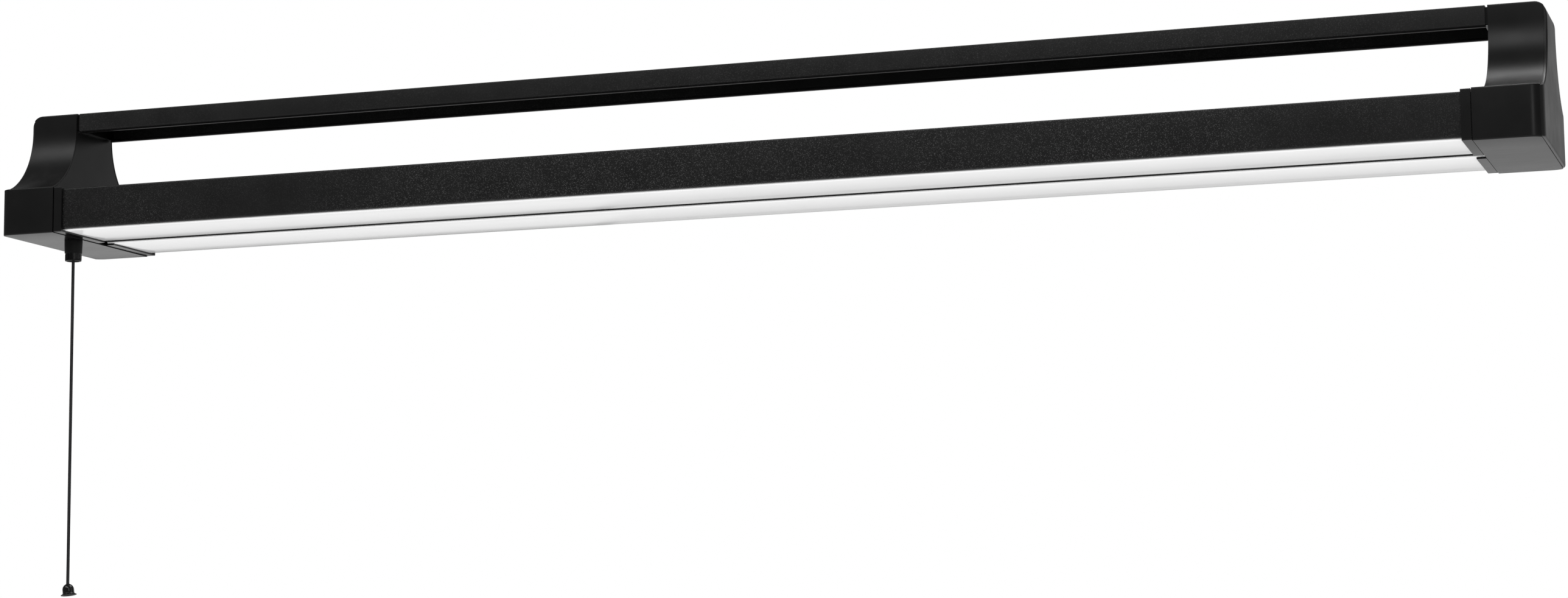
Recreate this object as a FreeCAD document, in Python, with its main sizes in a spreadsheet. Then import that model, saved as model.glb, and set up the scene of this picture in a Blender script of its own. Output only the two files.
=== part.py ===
import FreeCAD, Part
import math
import os
import re

import Sketcher

# Hanging LED shop light. The frame: X runs along the light, +X to the right as seen from the
# front; Y runs from the front to the back; Z is up. The origin is on the top face of the top
# rail, at its centre, where the light hangs or screws to a ceiling, so everything lies below it.

SIZES = {
    "Overall": {
        "fixture_length": 1219,
        "hang_height": 69.5,        # top of the rail down to the top of the channel body
        "fit": 0.1,                 # clearance between pieces that slide together
    },
    "Channel body": {
        "body_width": 147,
        "body_height": 32.5,
        "sheet_wall": 0.9,
        "hem_width": 4,
        "body_edge_radius": 1.4,
        "end_gap": 0.2,             # end cap's rim to the end plate
        "plate_thickness": 1.2,
        "plate_side_gap": 0.15,
    },
    "End caps": {
        "cap_length": 49,
        "cap_side_overhang": 2.5,   # caps stand proud of the body at the front and the back
        "block_rise": 2,            # ... above it
        "cap_drop": 3,              # ... and below it
        "cap_wall": 2.4,
        "cap_floor": 2.4,
        "cap_ledge": 2,
        "cap_end_wall": 4,
        "cap_edge_radius": 1.2,
        "cap_plan_radius": 10,
        "cover_thickness": 2.4,
        "cover_inset": 0.6,
        "boss_radius": 4.5,
        "boss_spread": 104,
        "boss_drop": 8.5,           # boss axis below the body's top
        "boss_pilot_radius": 1.6,
        "boss_pilot_depth": 14,
    },
    "Arms": {
        "arm_setback": 7.8,         # inner face of the arm, out from the block's inner rim
        "arm_width": 57,
        "arm_straight": 12.5,
        "flare_reach": 42,
        "arm_corner_radius": 9,
        "rebate_wall": 1.2,
        "arm_cover_thickness": 2,
        "plug_depth": 6,
    },
    "Top rail": {
        "rail_width": 55,
        "rail_height": 15.5,
        "rail_wall": 1.2,
        "rail_bottom_radius": 2.6,
        "rail_top_radius": 0.9,
        "rail_lip": 5,
        "rail_gap": 2,              # rail's end to the arm's face
        "slot_width": 6.5,
        "slot_length": 20,
        "slot_spacing": 914.4,
    },
    "Hanger brackets": {
        "bracket_width": 30,
        "bracket_thickness": 2,
        "bracket_bend": 1.5,
        "bracket_leg": 35,          # leg's outer face from the light's end
        "bracket_jog_drop": 3.5,    # jog's top below the body's top
        "bracket_foot_drop": 18,    # foot's end below the body's top
        "tongue_reach": 36,         # tongue's length past the block's inner rim
        "bracket_screw_spread": 16,
        "bracket_screw_drop": 11.5,
        "rail_screw_reach": 22,     # rail screw past the block's inner rim
    },
    "Collars": {
        "collar_gap": 0.7,
        "collar_length": 7,
        "collar_inset": 0.5,        # collar's skin in from the cap's skin
        "collar_edge_radius": 1,
        "collar_notch": 14,
    },
    "Lenses and spine": {
        "lens_wall": 1.5,
        "lens_proud": 1.2,
        "lens_gap": 0.4,
        "lens_edge_radius": 1.1,
        "lens_flange_gap": 0.3,
        "spine_width": 14,
        "spine_rim": 2,
        "spine_groove": 5,
        "spine_wall": 0.9,
        "spine_web": 2,
        "spine_foot": 12,
        "spine_foot_thickness": 1,
        "length_gap": 0.3,          # inner pieces to the end plates
    },
    "Reflector tray and boards": {
        "tray_drop": 16,            # tray's top below the body's top
        "tray_wall": 0.8,
        "tray_flat": 116,
        "tray_side_gap": 0.4,
        "tray_rim": 1.1,
        "spacer_radius": 4,
        "tray_screw_spread": 102,
        "tray_screw_inset": 84.5,   # outer screws in from the light's ends
        "board_width": 22,
        "board_thickness": 1.2,
        "board_margin": 12.8,
        "board_offset": 34,
        "board_screw_inset": 129.5,
        "board_screw_offset": 7,
        "chip_length": 3.5,
        "chip_width": 2.8,
        "chip_height": 0.8,
        "chip_pitch": 30,
        "spine_screw_inset": 95,
        "spine_screw_offset": 3.4,
    },
    "Driver and supply": {
        "driver_length": 180,
        "driver_width": 44,
        "driver_height": 13,
        "driver_radius": 1.5,
        "driver_inset": 229.5,      # from the light's left end to the driver's middle
        "driver_side": 12,
        "lug_length": 8,
        "lug_width": 12,
        "lug_thickness": 1.6,
        "terminal_length": 26,
        "terminal_width": 16,
        "terminal_height": 11,
        "terminal_pitch": 7.6,
        "wire_entry": 3.6,
        "wire_entry_depth": 6.4,
        "screw_well_radius": 2.2,
        "screw_well_depth": 3.2,
        "terminal_inset": 121.5,
        "terminal_side": 30,
        "inlet_inset": 154.5,
        "inlet_side": 44,
        "inlet_bore": 4,
        "inlet_neck": 6.5,
        "inlet_flange": 8.5,
        "inlet_lip": 1.6,
    },
    "Pull switch": {
        "switch_inset": 40,
        "switch_offset": 28,
        "case_back": 17,            # case wall behind the plunger, towards the light's end
        "case_front": 8,
        "case_half_width": 11,
        "case_height": 26,
        "case_wall": 1.2,
        "lid_thickness": 1.2,
        "barrel_radius": 7.25,
        "barrel_height": 10.5,
        "barrel_neck": 4.9,
        "barrel_edge": 0.6,
        "guide_radius": 6.6,
        "guide_height": 6.2,
        "guide_bore": 1.75,
        "guide_cup": 1.4,
        "rod_radius": 2,
        "running_clearance": 0.06,
        "rod_drop": 1,
        "pull_travel": 7.85,
        "spring_installed": 12.5,
        "spring_radius": 3,
        "spring_wire": 0.6,
        "spring_turns": 4,
        "spring_end_gap": 0.05,
        "seat_thickness": 1,
        "rack_height": 11,
        "rack_width": 5,
        "rack_front": 2,
        "pitch_radius": 5,
        "rack_pitch_offset": 4,
        "tooth_reach_rack": 0.55,
        "tooth_depth_rack": 1.15,
        "tooth_reach_wheel": 0.8,
        "tooth_depth_wheel": 1.1,
        "backlash": 0.24,
        "mesh_height": 1.6,         # wheel's centre above the installed spring
        "wheel_width": 4,
        "cam_width": 2,
        "cam_half": 3.4,
        "axle_radius": 1.5,
        "contact_thickness": 0.4,
        "contact_width": 2.4,
        "contact_gap": 0.4,         # blades to the wheel's side, and the cam to the blade
        "contact_reach": 9,
        "contact_foot": 4,
        "contact_opening": 1,
    },
    "Cord": {
        "cord_radius": 1.25,
        "cord_drop": 262,           # cord seen between the guide and the bell
        "bell_height": 9.4,
        "bell_dome_radius": 4.6,
        "bell_rim_radius": 6.25,
        "bell_rim_height": 2.2,
        "bell_wall": 1.1,
        "bell_hole": 1.4,
        "bell_rim_edge": 0.8,
        "knot_gap": 0.3,
        "knot_radius": 2.3,
        "knot_height": 3.4,
    },
    "Fasteners": {
        "m3_radius": 1.5,
        "m4_radius": 2,
        "hole_clearance": 0.15,
        "head_ratio": 1.85,         # head radius to shank radius
        "head_height_ratio": 1.1,
        "bracket_screw_length": 6,
        "cap_screw_length": 13,
        "tray_screw_length": 9,
        "spine_screw_length": 5,
        "board_screw_length": 4,
        "driver_screw_length": 5,
    },
}

NAMES = {name for group in SIZES.values() for name in group}

document = FreeCAD.newDocument("hanging_shop_light")
sheet = document.addObject("Spreadsheet::Sheet", "Sizes")


def fill_sheet():
    """Write every driving size into the sheet, one row each, under its group's heading."""
    row = 1
    for group, entries in SIZES.items():
        sheet.set("A%d" % row, group)
        row += 1
        for name, number in entries.items():
            sheet.set("A%d" % row, name)
            sheet.set("B%d" % row, str(number))
            sheet.setAlias("B%d" % row, name)
            row += 1
    document.recompute()


fill_sheet()


def bound(expression):
    """An expression on size names, written for use outside the sheet."""
    def named(match):
        word = match.group()
        return "Sizes." + word if word in NAMES else word
    return re.sub(r"[A-Za-z_]\w*", named, expression)


def value(expression):
    """The number that an expression on size names comes to."""
    return float(sheet.evalExpression(expression))


# Levels and lengths that several pieces share, as expressions. Depths are positive downwards.
BLOCK_TOP = "(hang_height - block_rise)"
BODY_BOTTOM = "(hang_height + body_height)"
CAP_BOTTOM = "(%s + cap_drop)" % BODY_BOTTOM
HEM_TOP = "(%s - sheet_wall)" % BODY_BOTTOM
CAP_HALF = "(body_width / 2 + cap_side_overhang)"
ARM_FACE = "(cap_length - arm_setback)"
PLATE_FACE = "(cap_length + end_gap)"
INNER_START = "(%s + plate_thickness + length_gap)" % PLATE_FACE
INNER_LENGTH = "(fixture_length - 2 * %s)" % INNER_START
BODY_LENGTH = "(fixture_length - 2 * %s)" % PLATE_FACE
RAIL_LENGTH = "(fixture_length - 2 * (%s + rail_gap))" % ARM_FACE
TRAY_TOP = "(hang_height + tray_drop)"
TRAY_BOTTOM = "(%s + tray_wall)" % TRAY_TOP
FLARE_RISE = "(%s - arm_straight)" % BLOCK_TOP
FLARE_RADIUS = "((flare_reach ^ 2 + %s ^ 2) / (2 * flare_reach))" % FLARE_RISE
BOSS_DEPTH = "(hang_height + boss_drop)"
BRACKET_SCREW_DEPTH = "(hang_height + bracket_screw_drop)"
BOARD_LENGTH = "(%s - 2 * board_margin)" % INNER_LENGTH
DRIVER_X = "(driver_inset - fixture_length / 2)"
TRAY_SCREW_X = "(fixture_length / 2 - tray_screw_inset)"
SPINE_SCREW_X = "(fixture_length / 2 - spine_screw_inset)"
BOARD_SCREW_X = "(fixture_length / 2 - board_screw_inset)"
M3_HOLE = "(m3_radius + hole_clearance)"
M4_HOLE = "(m4_radius + hole_clearance)"
SCREWS_ALONG = (-1, 0, 1)       # rows of screws: one at each end and one in the middle


# ---------------------------------------------------------------- drawing helpers

def new_body(label):
    body = document.addObject("PartDesign::Body", label)
    body.Label = label
    return body


def place(body, x="0", y="0", z="0", turned=False):
    """Put a body at a point, turned half round about Z if asked."""
    angle = 180 if turned else 0
    body.Placement = FreeCAD.Placement(
        FreeCAD.Vector(value(x), value(y), value(z)), FreeCAD.Rotation(FreeCAD.Vector(0, 0, 1), angle))
    for axis, expression in (("x", x), ("y", y), ("z", z)):
        body.setExpression("Placement.Base." + axis, bound(expression))


def place_at_end(body, side):
    """Put a body drawn from the light's end inwards at the left or the right end."""
    if side == "left":
        place(body, x="-fixture_length / 2")
    else:
        place(body, x="fixture_length / 2", turned=True)


def start_sketch(body, role, level="0"):
    """A sketch on one of the body's origin planes, lifted along the plane's normal."""
    plane = [feature for feature in body.Origin.OriginFeatures if feature.Role == role][0]
    drawing = body.newObject("Sketcher::SketchObject", body.Label + "_sketch")
    drawing.AttachmentSupport = [(plane, "")]
    drawing.MapMode = "FlatFace"
    drawing.AttachmentOffset = FreeCAD.Placement(FreeCAD.Vector(0, 0, value(level)), FreeCAD.Rotation())
    drawing.setExpression("AttachmentOffset.Base.z", bound(level))
    return drawing


def fix_distance(drawing, kind, geometry, position, expression):
    """Hold one coordinate of a point to an expression, measured from the sketch's origin."""
    index = drawing.addConstraint(
        Sketcher.Constraint(kind, -1, 1, geometry, position, value(expression)))
    drawing.setExpression("Constraints[%d]" % index, bound(expression))


def fix_radius(drawing, geometry, expression):
    index = drawing.addConstraint(Sketcher.Constraint("Radius", geometry, value(expression)))
    drawing.setExpression("Constraints[%d]" % index, bound(expression))


def arc_between(start, finish, radius, turn):
    """A short arc from start to finish: turn is 1 for anticlockwise, -1 for clockwise."""
    middle = ((start[0] + finish[0]) / 2, (start[1] + finish[1]) / 2)
    across = (finish[0] - start[0], finish[1] - start[1])
    chord = math.hypot(*across)
    rise = math.sqrt(max(radius ** 2 - chord ** 2 / 4, 0))
    centre = (middle[0] - turn * across[1] / chord * rise, middle[1] + turn * across[0] / chord * rise)
    first = math.atan2(start[1] - centre[1], start[0] - centre[0])
    last = math.atan2(finish[1] - centre[1], finish[0] - centre[0])
    if turn < 0:
        first, last = last, first
    if last < first:
        last += 2 * math.pi
    circle = Part.Circle(FreeCAD.Vector(centre[0], centre[1], 0), FreeCAD.Vector(0, 0, 1), radius)
    return Part.ArcOfCircle(circle, first, last)


def draw_outline(drawing, corners):
    """Draw a closed outline. A corner is (x, y), or (x, y, radius, turn) where an arc leaves it."""
    points = [(value(corner[0]), value(corner[1])) for corner in corners]
    edges = []
    for index, corner in enumerate(corners):
        start = points[index]
        finish = points[(index + 1) % len(points)]
        if len(corner) == 2:
            line = Part.LineSegment(FreeCAD.Vector(start[0], start[1], 0),
                                    FreeCAD.Vector(finish[0], finish[1], 0))
            edges.append((drawing.addGeometry(line, False), 1, 2))
        else:
            arc = arc_between(start, finish, value(corner[2]), corner[3])
            geometry = drawing.addGeometry(arc, False)
            edges.append((geometry, 1, 2) if corner[3] > 0 else (geometry, 2, 1))
    for index, edge in enumerate(edges):
        following = edges[(index + 1) % len(edges)]
        drawing.addConstraint(Sketcher.Constraint("Coincident", edge[0], edge[2], following[0], following[1]))
    for edge, corner in zip(edges, corners):
        fix_distance(drawing, "DistanceX", edge[0], edge[1], corner[0])
        fix_distance(drawing, "DistanceY", edge[0], edge[1], corner[1])
        if len(corner) == 4:
            fix_radius(drawing, edge[0], corner[2])


def draw_box(drawing, x_low, x_high, y_low, y_high):
    draw_outline(drawing, [(x_low, y_low), (x_high, y_low), (x_high, y_high), (x_low, y_high)])


def draw_circle(drawing, x, y, radius):
    circle = Part.Circle(FreeCAD.Vector(value(x), value(y), 0), FreeCAD.Vector(0, 0, 1), value(radius))
    geometry = drawing.addGeometry(circle, False)
    fix_distance(drawing, "DistanceX", geometry, 3, x)
    fix_distance(drawing, "DistanceY", geometry, 3, y)
    fix_radius(drawing, geometry, radius)


def pad(body, drawing, length, symmetric=False):
    feature = body.newObject("PartDesign::Pad", body.Label + "_pad")
    feature.Profile = drawing
    feature.Length = value(length)
    feature.setExpression("Length", bound(length))
    if symmetric:
        feature.SideType = "Symmetric"
    drawing.Visibility = False
    document.recompute()
    return feature


def cut(body, drawing, depth=None, upwards=False):
    """Pocket a drawing: right through both ways, or to a depth against or along its normal."""
    before = body.Shape.Volume
    feature = body.newObject("PartDesign::Pocket", body.Label + "_pocket")
    feature.Profile = drawing
    if depth is None:
        feature.Type = "ThroughAll"
        feature.SideType = "Symmetric"
    else:
        feature.Length = value(depth)
        feature.setExpression("Length", bound(depth))
        feature.Reversed = upwards
    document.recompute()
    if not body.Shape.Volume < before - 1e-6:
        raise RuntimeError("a pocket in %s cuts nothing" % body.Label)
    return feature


def revolve(body, drawing):
    """Turn a drawing on the XZ plane round the body's Z axis."""
    feature = body.newObject("PartDesign::Revolution", body.Label + "_revolution")
    feature.Profile = drawing
    feature.ReferenceAxis = (drawing, ["V_Axis"])
    feature.Angle = 360
    document.recompute()
    return feature


def edges_at(feature, axis, places):
    """Names of the straight edges along an axis whose other two coordinates are in places."""
    found = []
    others = [number for number in range(3) if number != axis]
    for number, edge in enumerate(feature.Shape.Edges, 1):
        if len(edge.Vertexes) != 2 or edge.Curve.TypeId != "Part::GeomLine":
            continue
        low, high = (vertex.Point for vertex in edge.Vertexes)
        if any(abs(low[other] - high[other]) > 1e-4 for other in others):
            continue
        for first, second in places:
            if abs(low[others[0]] - first) < 1e-3 and abs(low[others[1]] - second) < 1e-3:
                found.append("Edge%d" % number)
    if not found:
        raise RuntimeError("no such edges on " + feature.Label)
    return found


def fillet(body, feature, names, radius):
    rounded = body.newObject("PartDesign::Fillet", body.Label + "_fillet")
    rounded.Base = (feature, names)
    rounded.Radius = value(radius)
    rounded.setExpression("Radius", bound(radius))
    document.recompute()
    return rounded


def solid_feature(label, shape):
    """A sub-part whose shape is made by Part's own functions."""
    feature = document.addObject("Part::Feature", label)
    feature.Label = label
    feature.Shape = shape
    return feature


def centred(count):
    """Evenly spaced places about zero, in steps of one."""
    return [index - (count - 1) / 2 for index in range(count)]


# ---------------------------------------------------------------- the cap's outlines

def arm_outline(inset, top, bottom):
    """Front view of an arm: straight sides, then concave flares down to the block.

    inset moves both sides in, top is the depth of the upper edge and bottom that of the lower.
    """
    half = "(arm_width / 2 - %s)" % inset
    radius = "(%s + %s)" % (FLARE_RADIUS, inset)
    foot = "(arm_width / 2 + %s - sqrt(%s ^ 2 - %s ^ 2))" % (FLARE_RADIUS, radius, FLARE_RISE)
    return [
        ("-" + foot, "-%s" % bottom),
        ("-" + foot, "-%s" % BLOCK_TOP, radius, 1),
        ("-" + half, "-arm_straight"),
        ("-" + half, "-%s" % top),
        (half, "-%s" % top),
        (half, "-arm_straight", radius, 1),
        (foot, "-%s" % BLOCK_TOP),
        (foot, "-%s" % bottom),
    ]


def cap_form(body, start, block_length, arm_length, inset):
    """The block and the arm of an end cap as a solid, with their corners rounded off."""
    drawing = start_sketch(body, "YZ_Plane", start)
    draw_box(drawing, "-(%s - %s)" % (CAP_HALF, inset), "%s - %s" % (CAP_HALF, inset),
             "-(%s - %s)" % (CAP_BOTTOM, inset), "-(%s + %s)" % (BLOCK_TOP, inset))
    pad(body, drawing, block_length)
    drawing = start_sketch(body, "YZ_Plane", start)
    draw_outline(drawing, arm_outline(inset, inset, "(%s + %s + 1)" % (BLOCK_TOP, inset)))
    form = pad(body, drawing, arm_length)
    half = value("%s - %s" % (CAP_HALF, inset))
    low = -value("%s - %s" % (CAP_BOTTOM, inset))
    high = -value("%s + %s" % (BLOCK_TOP, inset))
    arm = value("arm_width / 2 - %s" % inset)
    top = -value(inset)
    rims = [(-half, low), (half, low), (-half, high), (half, high), (-arm, top), (arm, top)]
    fillet(body, form, edges_at(form, 0, rims), "cap_edge_radius")
    for way in (-1, 1):
        drawing = start_sketch(body, "XY_Plane")
        side = "-" if way < 0 else ""
        draw_outline(drawing, [
            ("-1", side + "(%s + 1)" % CAP_HALF),
            ("-1", side + "(%s - cap_plan_radius)" % CAP_HALF),
            ("0", side + "(%s - cap_plan_radius)" % CAP_HALF, "cap_plan_radius", -way),
            ("cap_plan_radius", side + CAP_HALF),
            ("cap_plan_radius", side + "(%s + 1)" % CAP_HALF),
        ])
        cut(body, drawing)
    drawing = start_sketch(body, "XZ_Plane")
    draw_outline(drawing, [
        ("-1", "1"),
        ("-1", "-arm_corner_radius"),
        ("0", "-arm_corner_radius", "arm_corner_radius", -1),
        ("arm_corner_radius", "0"),
        ("arm_corner_radius", "1"),
    ])
    cut(body, drawing)


# ---------------------------------------------------------------- rail, arms and caps

def top_rail():
    """Rolled channel, open below, with in-turned lips and two hanging slots in its top."""
    body = new_body("top_rail")
    drawing = start_sketch(body, "YZ_Plane")
    draw_box(drawing, "-rail_width / 2", "rail_width / 2", "-rail_height", "0")
    bar = pad(body, drawing, RAIL_LENGTH, symmetric=True)
    half = value("rail_width / 2")
    low = -value("rail_height")
    bar = fillet(body, bar, edges_at(bar, 0, [(-half, low), (half, low)]), "rail_bottom_radius")
    fillet(body, bar, edges_at(bar, 0, [(-half, 0), (half, 0)]), "rail_top_radius")
    drawing = start_sketch(body, "YZ_Plane")
    draw_box(drawing, "-(rail_width / 2 - rail_wall)", "rail_width / 2 - rail_wall",
             "-(rail_height - rail_wall)", "-rail_wall")
    cut(body, drawing)
    drawing = start_sketch(body, "YZ_Plane")
    draw_box(drawing, "-(rail_width / 2 - rail_lip)", "rail_width / 2 - rail_lip",
             "-(rail_height + 1)", "-(rail_height - 2 * rail_wall)")
    cut(body, drawing)
    straight = "(slot_length - slot_width) / 2"
    drawing = start_sketch(body, "XY_Plane")
    for side in ("-", ""):
        middle = side + "slot_spacing / 2"
        draw_box(drawing, "%s - %s" % (middle, straight), "%s + %s" % (middle, straight),
                 "-slot_width / 2", "slot_width / 2")
    cut(body, drawing, "2 * rail_wall")
    drawing = start_sketch(body, "XY_Plane")
    for side in ("-", ""):
        for end in ("-", "+"):
            draw_circle(drawing, "%sslot_spacing / 2 %s %s" % (side, end, straight), "0", "slot_width / 2")
    cut(body, drawing, "2 * rail_wall")
    drawing = start_sketch(body, "XY_Plane")
    for side in ("-", ""):
        draw_circle(drawing, side + "(fixture_length / 2 - cap_length - rail_screw_reach)", "0", M4_HOLE)
    cut(body, drawing, "2 * rail_wall")
    return body


def end_cap(side):
    """Moulded cap: a hollow block that closes the body and a hollow arm that carries the rail."""
    body = new_body("end_cap_" + side)
    cap_form(body, "cover_thickness", "cap_length - cover_thickness",
             "%s - cover_thickness" % ARM_FACE, "0")
    depth = "cap_length - cover_thickness - cap_end_wall"
    drawing = start_sketch(body, "YZ_Plane", "cap_length")
    draw_box(drawing, "-(%s - cap_wall)" % CAP_HALF, "%s - cap_wall" % CAP_HALF,
             "-(%s - cap_floor)" % CAP_BOTTOM, "-(%s + cap_ledge)" % BLOCK_TOP)
    cut(body, drawing, depth)
    drawing = start_sketch(body, "YZ_Plane", ARM_FACE)
    draw_outline(drawing, arm_outline("cap_wall", "rail_wall", "(%s + cap_ledge + 0.5)" % BLOCK_TOP))
    cut(body, drawing, "%s - cover_thickness - cap_end_wall" % ARM_FACE)
    drawing = start_sketch(body, "YZ_Plane", ARM_FACE)
    draw_outline(drawing, arm_outline("rebate_wall", "rail_wall", "(%s + cap_ledge)" % BLOCK_TOP))
    cut(body, drawing, "arm_cover_thickness")
    drawing = start_sketch(body, "YZ_Plane", "cover_thickness + cap_end_wall - 0.5")
    for way in ("-", ""):
        draw_circle(drawing, way + "boss_spread / 2", "-" + BOSS_DEPTH, "boss_radius")
    pad(body, drawing, "cap_length - cover_thickness - cap_end_wall + 0.5")
    drawing = start_sketch(body, "YZ_Plane", "cap_length")
    for way in ("-", ""):
        draw_circle(drawing, way + "boss_spread / 2", "-" + BOSS_DEPTH, "boss_pilot_radius")
    cut(body, drawing, "boss_pilot_depth")
    if side == "left":
        drawing = start_sketch(body, "XY_Plane", "-(%s + 0.5)" % CAP_BOTTOM)
        draw_circle(drawing, "switch_inset", "-switch_offset", "barrel_neck + fit")
        cut(body, drawing, "cap_floor + 1", upwards=True)
    place_at_end(body, side)
    return body


def end_cover(side):
    """Outer end plate of a cap, a little smaller all round so that a dark seam shows."""
    body = new_body("end_cover_" + side)
    cap_form(body, "0", "cover_thickness", "cover_thickness", "cover_inset")
    place_at_end(body, side)
    return body


def arm_cover(side):
    """Flat inner face of an arm, with the plug that fills the rail's end."""
    body = new_body("arm_cover_" + side)
    drawing = start_sketch(body, "YZ_Plane", "%s - arm_cover_thickness" % ARM_FACE)
    draw_outline(drawing, arm_outline("(rebate_wall + fit)", "(rail_wall + fit)",
                                      "(%s + cap_ledge)" % BLOCK_TOP))
    pad(body, drawing, "arm_cover_thickness")
    drawing = start_sketch(body, "YZ_Plane", ARM_FACE)
    draw_box(drawing, "-(rail_width / 2 - rail_wall - fit)", "rail_width / 2 - rail_wall - fit",
             "-(rail_height - rail_wall - fit)", "-(rail_wall + fit)")
    pad(body, drawing, "rail_gap + plug_depth")
    drawing = start_sketch(body, "YZ_Plane")
    draw_box(drawing, "-(bracket_width / 2 + fit)", "bracket_width / 2 + fit",
             "-(rail_wall + bracket_thickness + fit)", "0")
    cut(body, drawing)
    place_at_end(body, side)
    return body


def hanger_bracket(side):
    """Bent steel strap: a tongue under the rail's top, a leg down the arm, a foot on the end plate."""
    body = new_body("hanger_bracket_" + side)
    tongue_end = "cap_length + tongue_reach"
    leg = "bracket_leg"
    leg_in = "bracket_leg + bracket_thickness"
    foot = "%s - bracket_thickness" % PLATE_FACE
    under_rail = "-rail_wall"
    under_tongue = "-(rail_wall + bracket_thickness)"
    jog = "-(hang_height + bracket_jog_drop)"
    under_jog = "-(hang_height + bracket_jog_drop + bracket_thickness)"
    toe = "-(hang_height + bracket_foot_drop)"
    drawing = start_sketch(body, "XZ_Plane")
    draw_outline(drawing, [
        (tongue_end, under_rail), (leg, under_rail), (leg, under_jog), (foot, under_jog), (foot, toe),
        (PLATE_FACE, toe), (PLATE_FACE, jog), (leg_in, jog), (leg_in, under_tongue),
        (tongue_end, under_tongue),
    ])
    strap = pad(body, drawing, "bracket_width", symmetric=True)
    inner = [(value(leg_in), value(under_tongue)), (value(leg_in), value(jog)),
             (value(foot), value(under_jog))]
    outer = [(value(leg), value(under_rail)), (value(leg), value(under_jog)),
             (value(PLATE_FACE), value(jog))]
    strap = fillet(body, strap, edges_at(strap, 1, inner), "bracket_bend")
    fillet(body, strap, edges_at(strap, 1, outer), "bracket_bend + bracket_thickness")
    drawing = start_sketch(body, "YZ_Plane", PLATE_FACE)
    for way in ("-", ""):
        draw_circle(drawing, way + "bracket_screw_spread / 2", "-" + BRACKET_SCREW_DEPTH, M4_HOLE)
    cut(body, drawing, "bracket_thickness")
    drawing = start_sketch(body, "XY_Plane")
    draw_circle(drawing, "cap_length + rail_screw_reach", "0", M4_HOLE)
    cut(body, drawing, "rail_wall + bracket_thickness")
    place_at_end(body, side)
    return body


def collar(side):
    """Band round the body's end, notched below where the spine passes."""
    body = new_body("collar_" + side)
    drawing = start_sketch(body, "YZ_Plane", "cap_length + collar_gap")
    half = "(%s - collar_inset)" % CAP_HALF
    draw_box(drawing, "-" + half, half, "-(%s - collar_inset)" % CAP_BOTTOM,
             "-(%s + collar_inset)" % BLOCK_TOP)
    band = pad(body, drawing, "collar_length")
    side_place = value(half)
    low = -value("%s - collar_inset" % CAP_BOTTOM)
    high = -value("%s + collar_inset" % BLOCK_TOP)
    rims = [(-side_place, low), (side_place, low), (-side_place, high), (side_place, high)]
    fillet(body, band, edges_at(band, 0, rims), "collar_edge_radius")
    drawing = start_sketch(body, "YZ_Plane")
    draw_box(drawing, "-(body_width / 2 + fit)", "body_width / 2 + fit",
             "-(%s + lens_proud + fit)" % BODY_BOTTOM, "-(hang_height - fit)")
    cut(body, drawing)
    drawing = start_sketch(body, "YZ_Plane")
    draw_box(drawing, "-collar_notch / 2", "collar_notch / 2", "-(%s + 1)" % CAP_BOTTOM,
             "-%s" % BODY_BOTTOM)
    cut(body, drawing)
    place_at_end(body, side)
    return body


# ---------------------------------------------------------------- channel body

def body_housing():
    """Folded steel channel, open below, hemmed inwards along both lower edges."""
    body = new_body("body_housing")
    drawing = start_sketch(body, "YZ_Plane")
    draw_box(drawing, "-body_width / 2", "body_width / 2", "-%s" % BODY_BOTTOM, "-hang_height")
    bar = pad(body, drawing, BODY_LENGTH, symmetric=True)
    half = value("body_width / 2")
    levels = (-value(BODY_BOTTOM), -value("hang_height"))
    rims = [(way * half, level) for way in (-1, 1) for level in levels]
    fillet(body, bar, edges_at(bar, 0, rims), "body_edge_radius")
    drawing = start_sketch(body, "YZ_Plane")
    draw_box(drawing, "-(body_width / 2 - sheet_wall)", "body_width / 2 - sheet_wall",
             "-%s" % HEM_TOP, "-(hang_height + sheet_wall)")
    cut(body, drawing)
    drawing = start_sketch(body, "YZ_Plane")
    draw_box(drawing, "-(body_width / 2 - hem_width)", "body_width / 2 - hem_width",
             "-(%s + 1)" % BODY_BOTTOM, "-(%s - 1)" % HEM_TOP)
    cut(body, drawing)
    drawing = start_sketch(body, "XY_Plane", "-(hang_height - 1)")
    draw_circle(drawing, "inlet_inset - fixture_length / 2", "inlet_side", "inlet_neck + fit")
    cut(body, drawing, "sheet_wall + 2")
    return body


def end_plate(side):
    """Steel plate across the channel's end, which the cap and the bracket are screwed to."""
    body = new_body("end_plate_" + side)
    drawing = start_sketch(body, "YZ_Plane", PLATE_FACE)
    draw_box(drawing, "-(body_width / 2 - sheet_wall - plate_side_gap)",
             "body_width / 2 - sheet_wall - plate_side_gap",
             "-(%s - plate_side_gap)" % HEM_TOP, "-(hang_height + sheet_wall + plate_side_gap)")
    pad(body, drawing, "plate_thickness")
    drawing = start_sketch(body, "YZ_Plane")
    for way in ("-", ""):
        draw_circle(drawing, way + "boss_spread / 2", "-" + BOSS_DEPTH, M3_HOLE)
        draw_circle(drawing, way + "bracket_screw_spread / 2", "-" + BRACKET_SCREW_DEPTH, M4_HOLE)
    cut(body, drawing)
    place_at_end(body, side)
    return body


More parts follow.
